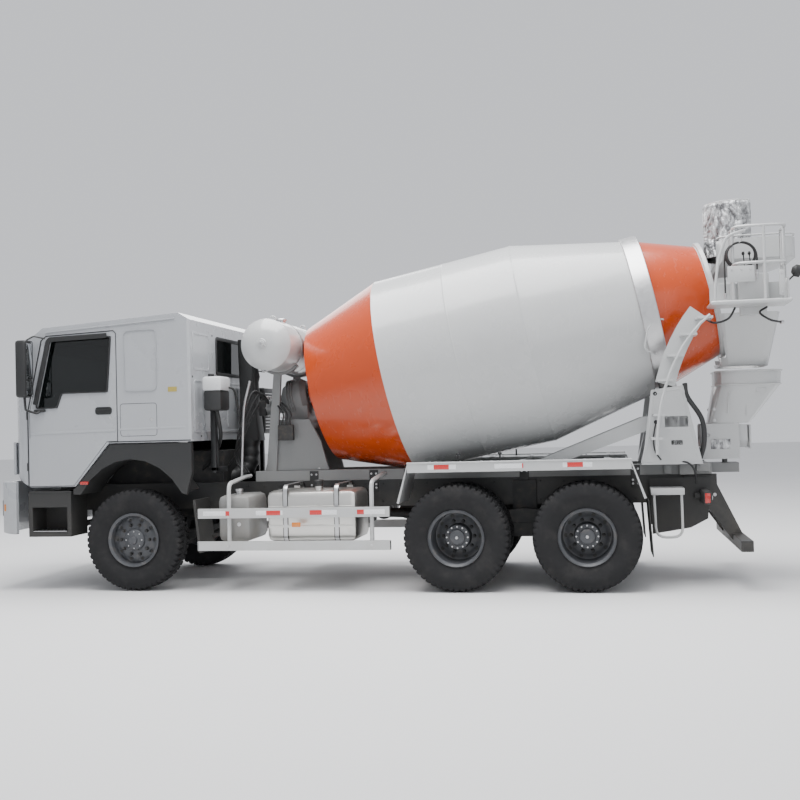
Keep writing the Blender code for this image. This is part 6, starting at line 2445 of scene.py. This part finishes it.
def build_seat(name, sign):
    """One cab seat: three sewn pads over a moulded base on a sprung plinth."""
    y0, y1 = sorted((sign * 0.375, sign * 0.845))
    middle = (y0 + y1) / 2
    cushion = pillow(at(-0.22, -0.235, 1.775), at(-0.70, 0.235, 1.875), 0.018)
    upholstered(
        f"seat_cushion_{name}", cushion, CAB, ((1, -0.13), (1, 0.13), (0, AXLE_X + 0.40)),
        (f"seat_{name}",), tilt=Matrix.Translation((0, middle, 0)), like="cushion"
    )
    hinge = Vector(at(-0.19, 0, 1.83))
    back = pillow((0.0, -0.215, 0.0), (0.62, 0.215, 0.085), 0.016)
    upright = Matrix.Translation(
        hinge + Vector((-0.04, middle, 0.0))
    ) @ Matrix.Rotation(math.radians(-102), 4, "Y")
    upholstered(
        f"seat_back_{name}", back, CAB, ((1, -0.12), (1, 0.12), (0, 0.22), (0, 0.42)), tilt=upright,
        like="back"
    )
    rest = pillow((0.0, -0.115, 0.0), (0.17, 0.115, 0.07), 0.012, corner=0.04)
    above = Matrix.Translation(
        hinge + Vector((-0.185, middle, 0.655))
    ) @ Matrix.Rotation(math.radians(-98), 4, "Y")
    upholstered(f"headrest_{name}", rest, CAB, ((0, 0.085),), tilt=above, cap=0.012, like="headrest")
    plinth = brick(at(-0.24, y0 + 0.05, 1.690), at(-0.68, y1 - 0.05, 1.725), 0.01)
    folds = turned(
        [(0, 0.14)] + [(0.008 + 0.009 * k, 0.15 if k % 2 else 0.135) for k in range(7)] + [(0.070, 0.14)],
        at(-0.46, middle, 1.708), (0, 0, 1), 40
    )
    shell = sheet_between(
        (
            (-0.715, 1.768), (-0.20, 1.768), (-0.135, 1.80), (-0.115, 1.83), (-0.155, 1.842), (-0.20, 1.79),
            (-0.70, 1.785)
        ),
        y0 + 0.012, y1 - 0.012
    )
    piece(f"seat_base_{name}", plinth + folds + shell, CAB, black_plastic())
    posts = together(
        rod(
            hinge + Vector((-0.155, middle + d, 0.59)), hinge + Vector((-0.185, middle + d, 0.70)), 0.007,
            edge=0.002
        )
        for d in (-0.05, 0.05)
    )
    piece(f"headrest_posts_{name}", posts, CAB, bright_steel())
    belt = strip(
        smooth_path(
            [
                at(0.10, sign * 0.98, 2.52), at(-0.02, sign * 0.93, 2.35), at(-0.10, sign * 0.90, 2.10),
                at(-0.15, sign * 0.875, 1.84), at(-0.16, sign * 0.87, 1.74)
            ],
            6
        ),
        0.044, 0.003, (0, sign * 0.7, 0.7), 0.001
    )
    piece(f"seat_belt_{name}", belt, CAB, black_plastic())


class MIXER_OT_interior(bpy.types.Operator):
    """Builds the seats, the wheel, the dashboard, the bunk and the lining of the cab"""

    bl_idname = "mixer.interior"
    bl_label = "Cab interior"

    def execute(self, context):
        for name, sign in SIDES:
            build_seat(name, sign)
        bunk = pillow(at(0.64, -1.00, 1.79), at(0.16, 1.00, 1.88), 0.012, corner=0.06)
        upholstered(
            "bunk_mattress", bunk, CAB, ((1, -0.66), (1, -0.33), (1, 0.0), (1, 0.33), (1, 0.66)),
            voxel=0.014
        )
        board = bar((0.12, -1.04, 1.72), (0.66, 1.04, 1.778), 0.006)
        piece("bunk_board", board, CAB, trim_plastic())
        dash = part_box("dashboard")
        driver = 0.60
        dials = []
        face = dash[0].x - 0.001
        for dy, r in ((-0.10, 0.05), (0.10, 0.05), (-0.20, 0.028), (0.0, 0.028), (0.20, 0.028)):
            dials.append(
                turned(
                    [
                        (-0.004, r + 0.006), (0.010, r + 0.006), (0.012, r), (0.004, r - 0.004),
                        (0.004, 0.001)
                    ],
                    (face, driver + dy, 1.985), (-1, 0, 0.2), 30
                )
            )
        piece("dials", together(dials), CAB, black_plastic())
        needles = together(
            brick(
                (face - 0.010, driver + dy - 0.002, 1.985), (face - 0.008, driver + dy + 0.002, 1.985 + r),
                0.0005
            ) for dy,
            r in ((-0.10, 0.036), (0.10, 0.030))
        )
        piece("dial_needles", needles, CAB, lens("red"))
        vents = together(
            brick((face - 0.012, y - 0.06, z), (face + 0.002, y + 0.06, z + 0.008), 0.003)
            for y in (-0.85, -0.15, 0.18, 0.95) for z in (1.95, 1.967, 1.984, 2.001)
        )
        piece("dashboard_vents", vents, CAB, trim_plastic())
        knobs = together(
            turned(
                [(-0.002, 0.014), (0.014, 0.012), (0.018, 0.008), (0.018, 0.001)], (face, y, 1.88),
                (-1, 0, 0), 20
            )
            for y in (-0.2, -0.13, -0.06, 0.1, 0.17)
        )
        piece("dashboard_knobs", knobs, CAB, bright_steel())
        glove = brick((face - 0.006, -0.90, 1.83), (face + 0.002, -0.40, 1.93), 0.004)
        piece("glove_box_lid", glove, CAB, trim_plastic())
        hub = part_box("steering_wheel")
        centre = (np.array(hub[0]) + np.array(hub[1])) / 2
        axis = np.array((-0.45, 0.0, 0.893))
        boss = turned([(0.004, 0.058), (0.022, 0.052), (0.030, 0.036), (0.031, 0.001)], centre, axis, 36)
        piece("horn_pad", boss, "steering_wheel", black_plastic())
        lever = tube([at(-0.62, 0.14, 1.70), at(-0.60, 0.14, 1.95), at(-0.58, 0.15, 2.05)], 0.009, 0.03)
        knob = turned(
            [(-0.03, 0.001), (-0.026, 0.015), (0, 0.024), (0.026, 0.017), (0.032, 0.001)],
            at(-0.58, 0.15, 2.06), (0, 0, 1), 22
        )
        boot = turned(
            [(0, 0.08), (0.03, 0.06), (0.05, 0.05), (0.08, 0.02), (0.10, 0.011)], at(-0.62, 0.14, 1.655),
            (0, 0, 1), 28
        )
        piece("gear_lever", lever + knob + boot, CAB, black_plastic())
        pedals = together(
            brick(at(-0.95, 0.60 + d - 0.035, 1.33), at(-0.985, 0.60 + d + 0.035, 1.42), 0.01)
            for d in (-0.16, 0.0, 0.14)
        )
        piece("pedals", pedals, CAB, black_plastic())
        visors = together(
            brick(at(-1.02, y - 0.24, 2.74), at(-1.16, y + 0.24, 2.755), 0.006).through(
                lambda p: p
                + np.stack([np.zeros(len(p)), np.zeros(len(p)), (p[:, 0] - AXLE_X - 1.09) * -0.7], -1)
            )
            for y in (-0.6, 0.6)
        )
        piece("inner_sun_visors", visors, CAB, trim_plastic())
        shelf = bar((-1.00, -1.02, 2.80), (-0.74, 1.02, 2.815), 0.005)
        piece("roof_shelf", shelf, CAB, trim_plastic())
        return {"FINISHED"}


# Panel and run

BUILDERS = (
    ("mixer.stage", MIXER_OT_stage),
    ("mixer.skins", MIXER_OT_skins),
    ("mixer.wheels", MIXER_OT_wheels),
    ("mixer.drum", MIXER_OT_drum),
    ("mixer.cab_front", MIXER_OT_cab_front),
    ("mixer.cab_sides", MIXER_OT_cab_sides),
    ("mixer.cab_back", MIXER_OT_cab_back),
    ("mixer.front_equipment", MIXER_OT_front_equipment),
    ("mixer.chassis", MIXER_OT_chassis),
    ("mixer.side_fittings", MIXER_OT_side_fittings),
    ("mixer.hoppers", MIXER_OT_hoppers),
    ("mixer.platform_fittings", MIXER_OT_platform_fittings),
    ("mixer.stand_fittings", MIXER_OT_stand_fittings),
    ("mixer.interior", MIXER_OT_interior),
)


class MIXER_PT_truck(bpy.types.Panel):
    """Lists the truck's colours, small sizes and builders"""

    bl_idname = "MIXER_PT_truck"
    bl_label = "Concrete Mixer Truck"
    bl_space_type = "VIEW_3D"
    bl_region_type = "UI"
    bl_category = "Mixer"

    def draw(self, context):
        column = self.layout.column()
        for name in MixerTruckSettings.__annotations__:
            column.prop(context.scene.mixer_truck, name)
        for idname, _ in BUILDERS:
            column.operator(idname)


CLASSES = (MixerTruckSettings, *(builder for _, builder in BUILDERS), MIXER_PT_truck)


def register():
    for each in CLASSES:
        bpy.utils.register_class(each)
    bpy.types.Scene.mixer_truck = PointerProperty(type=MixerTruckSettings)


def unregister():
    del bpy.types.Scene.mixer_truck
    for each in reversed(CLASSES):
        bpy.utils.unregister_class(each)


def main():
    register()
    for idname, _ in BUILDERS:
        group, name = idname.split(".")
        getattr(getattr(bpy.ops, group), name)()


if __name__ == "__main__":
    main()
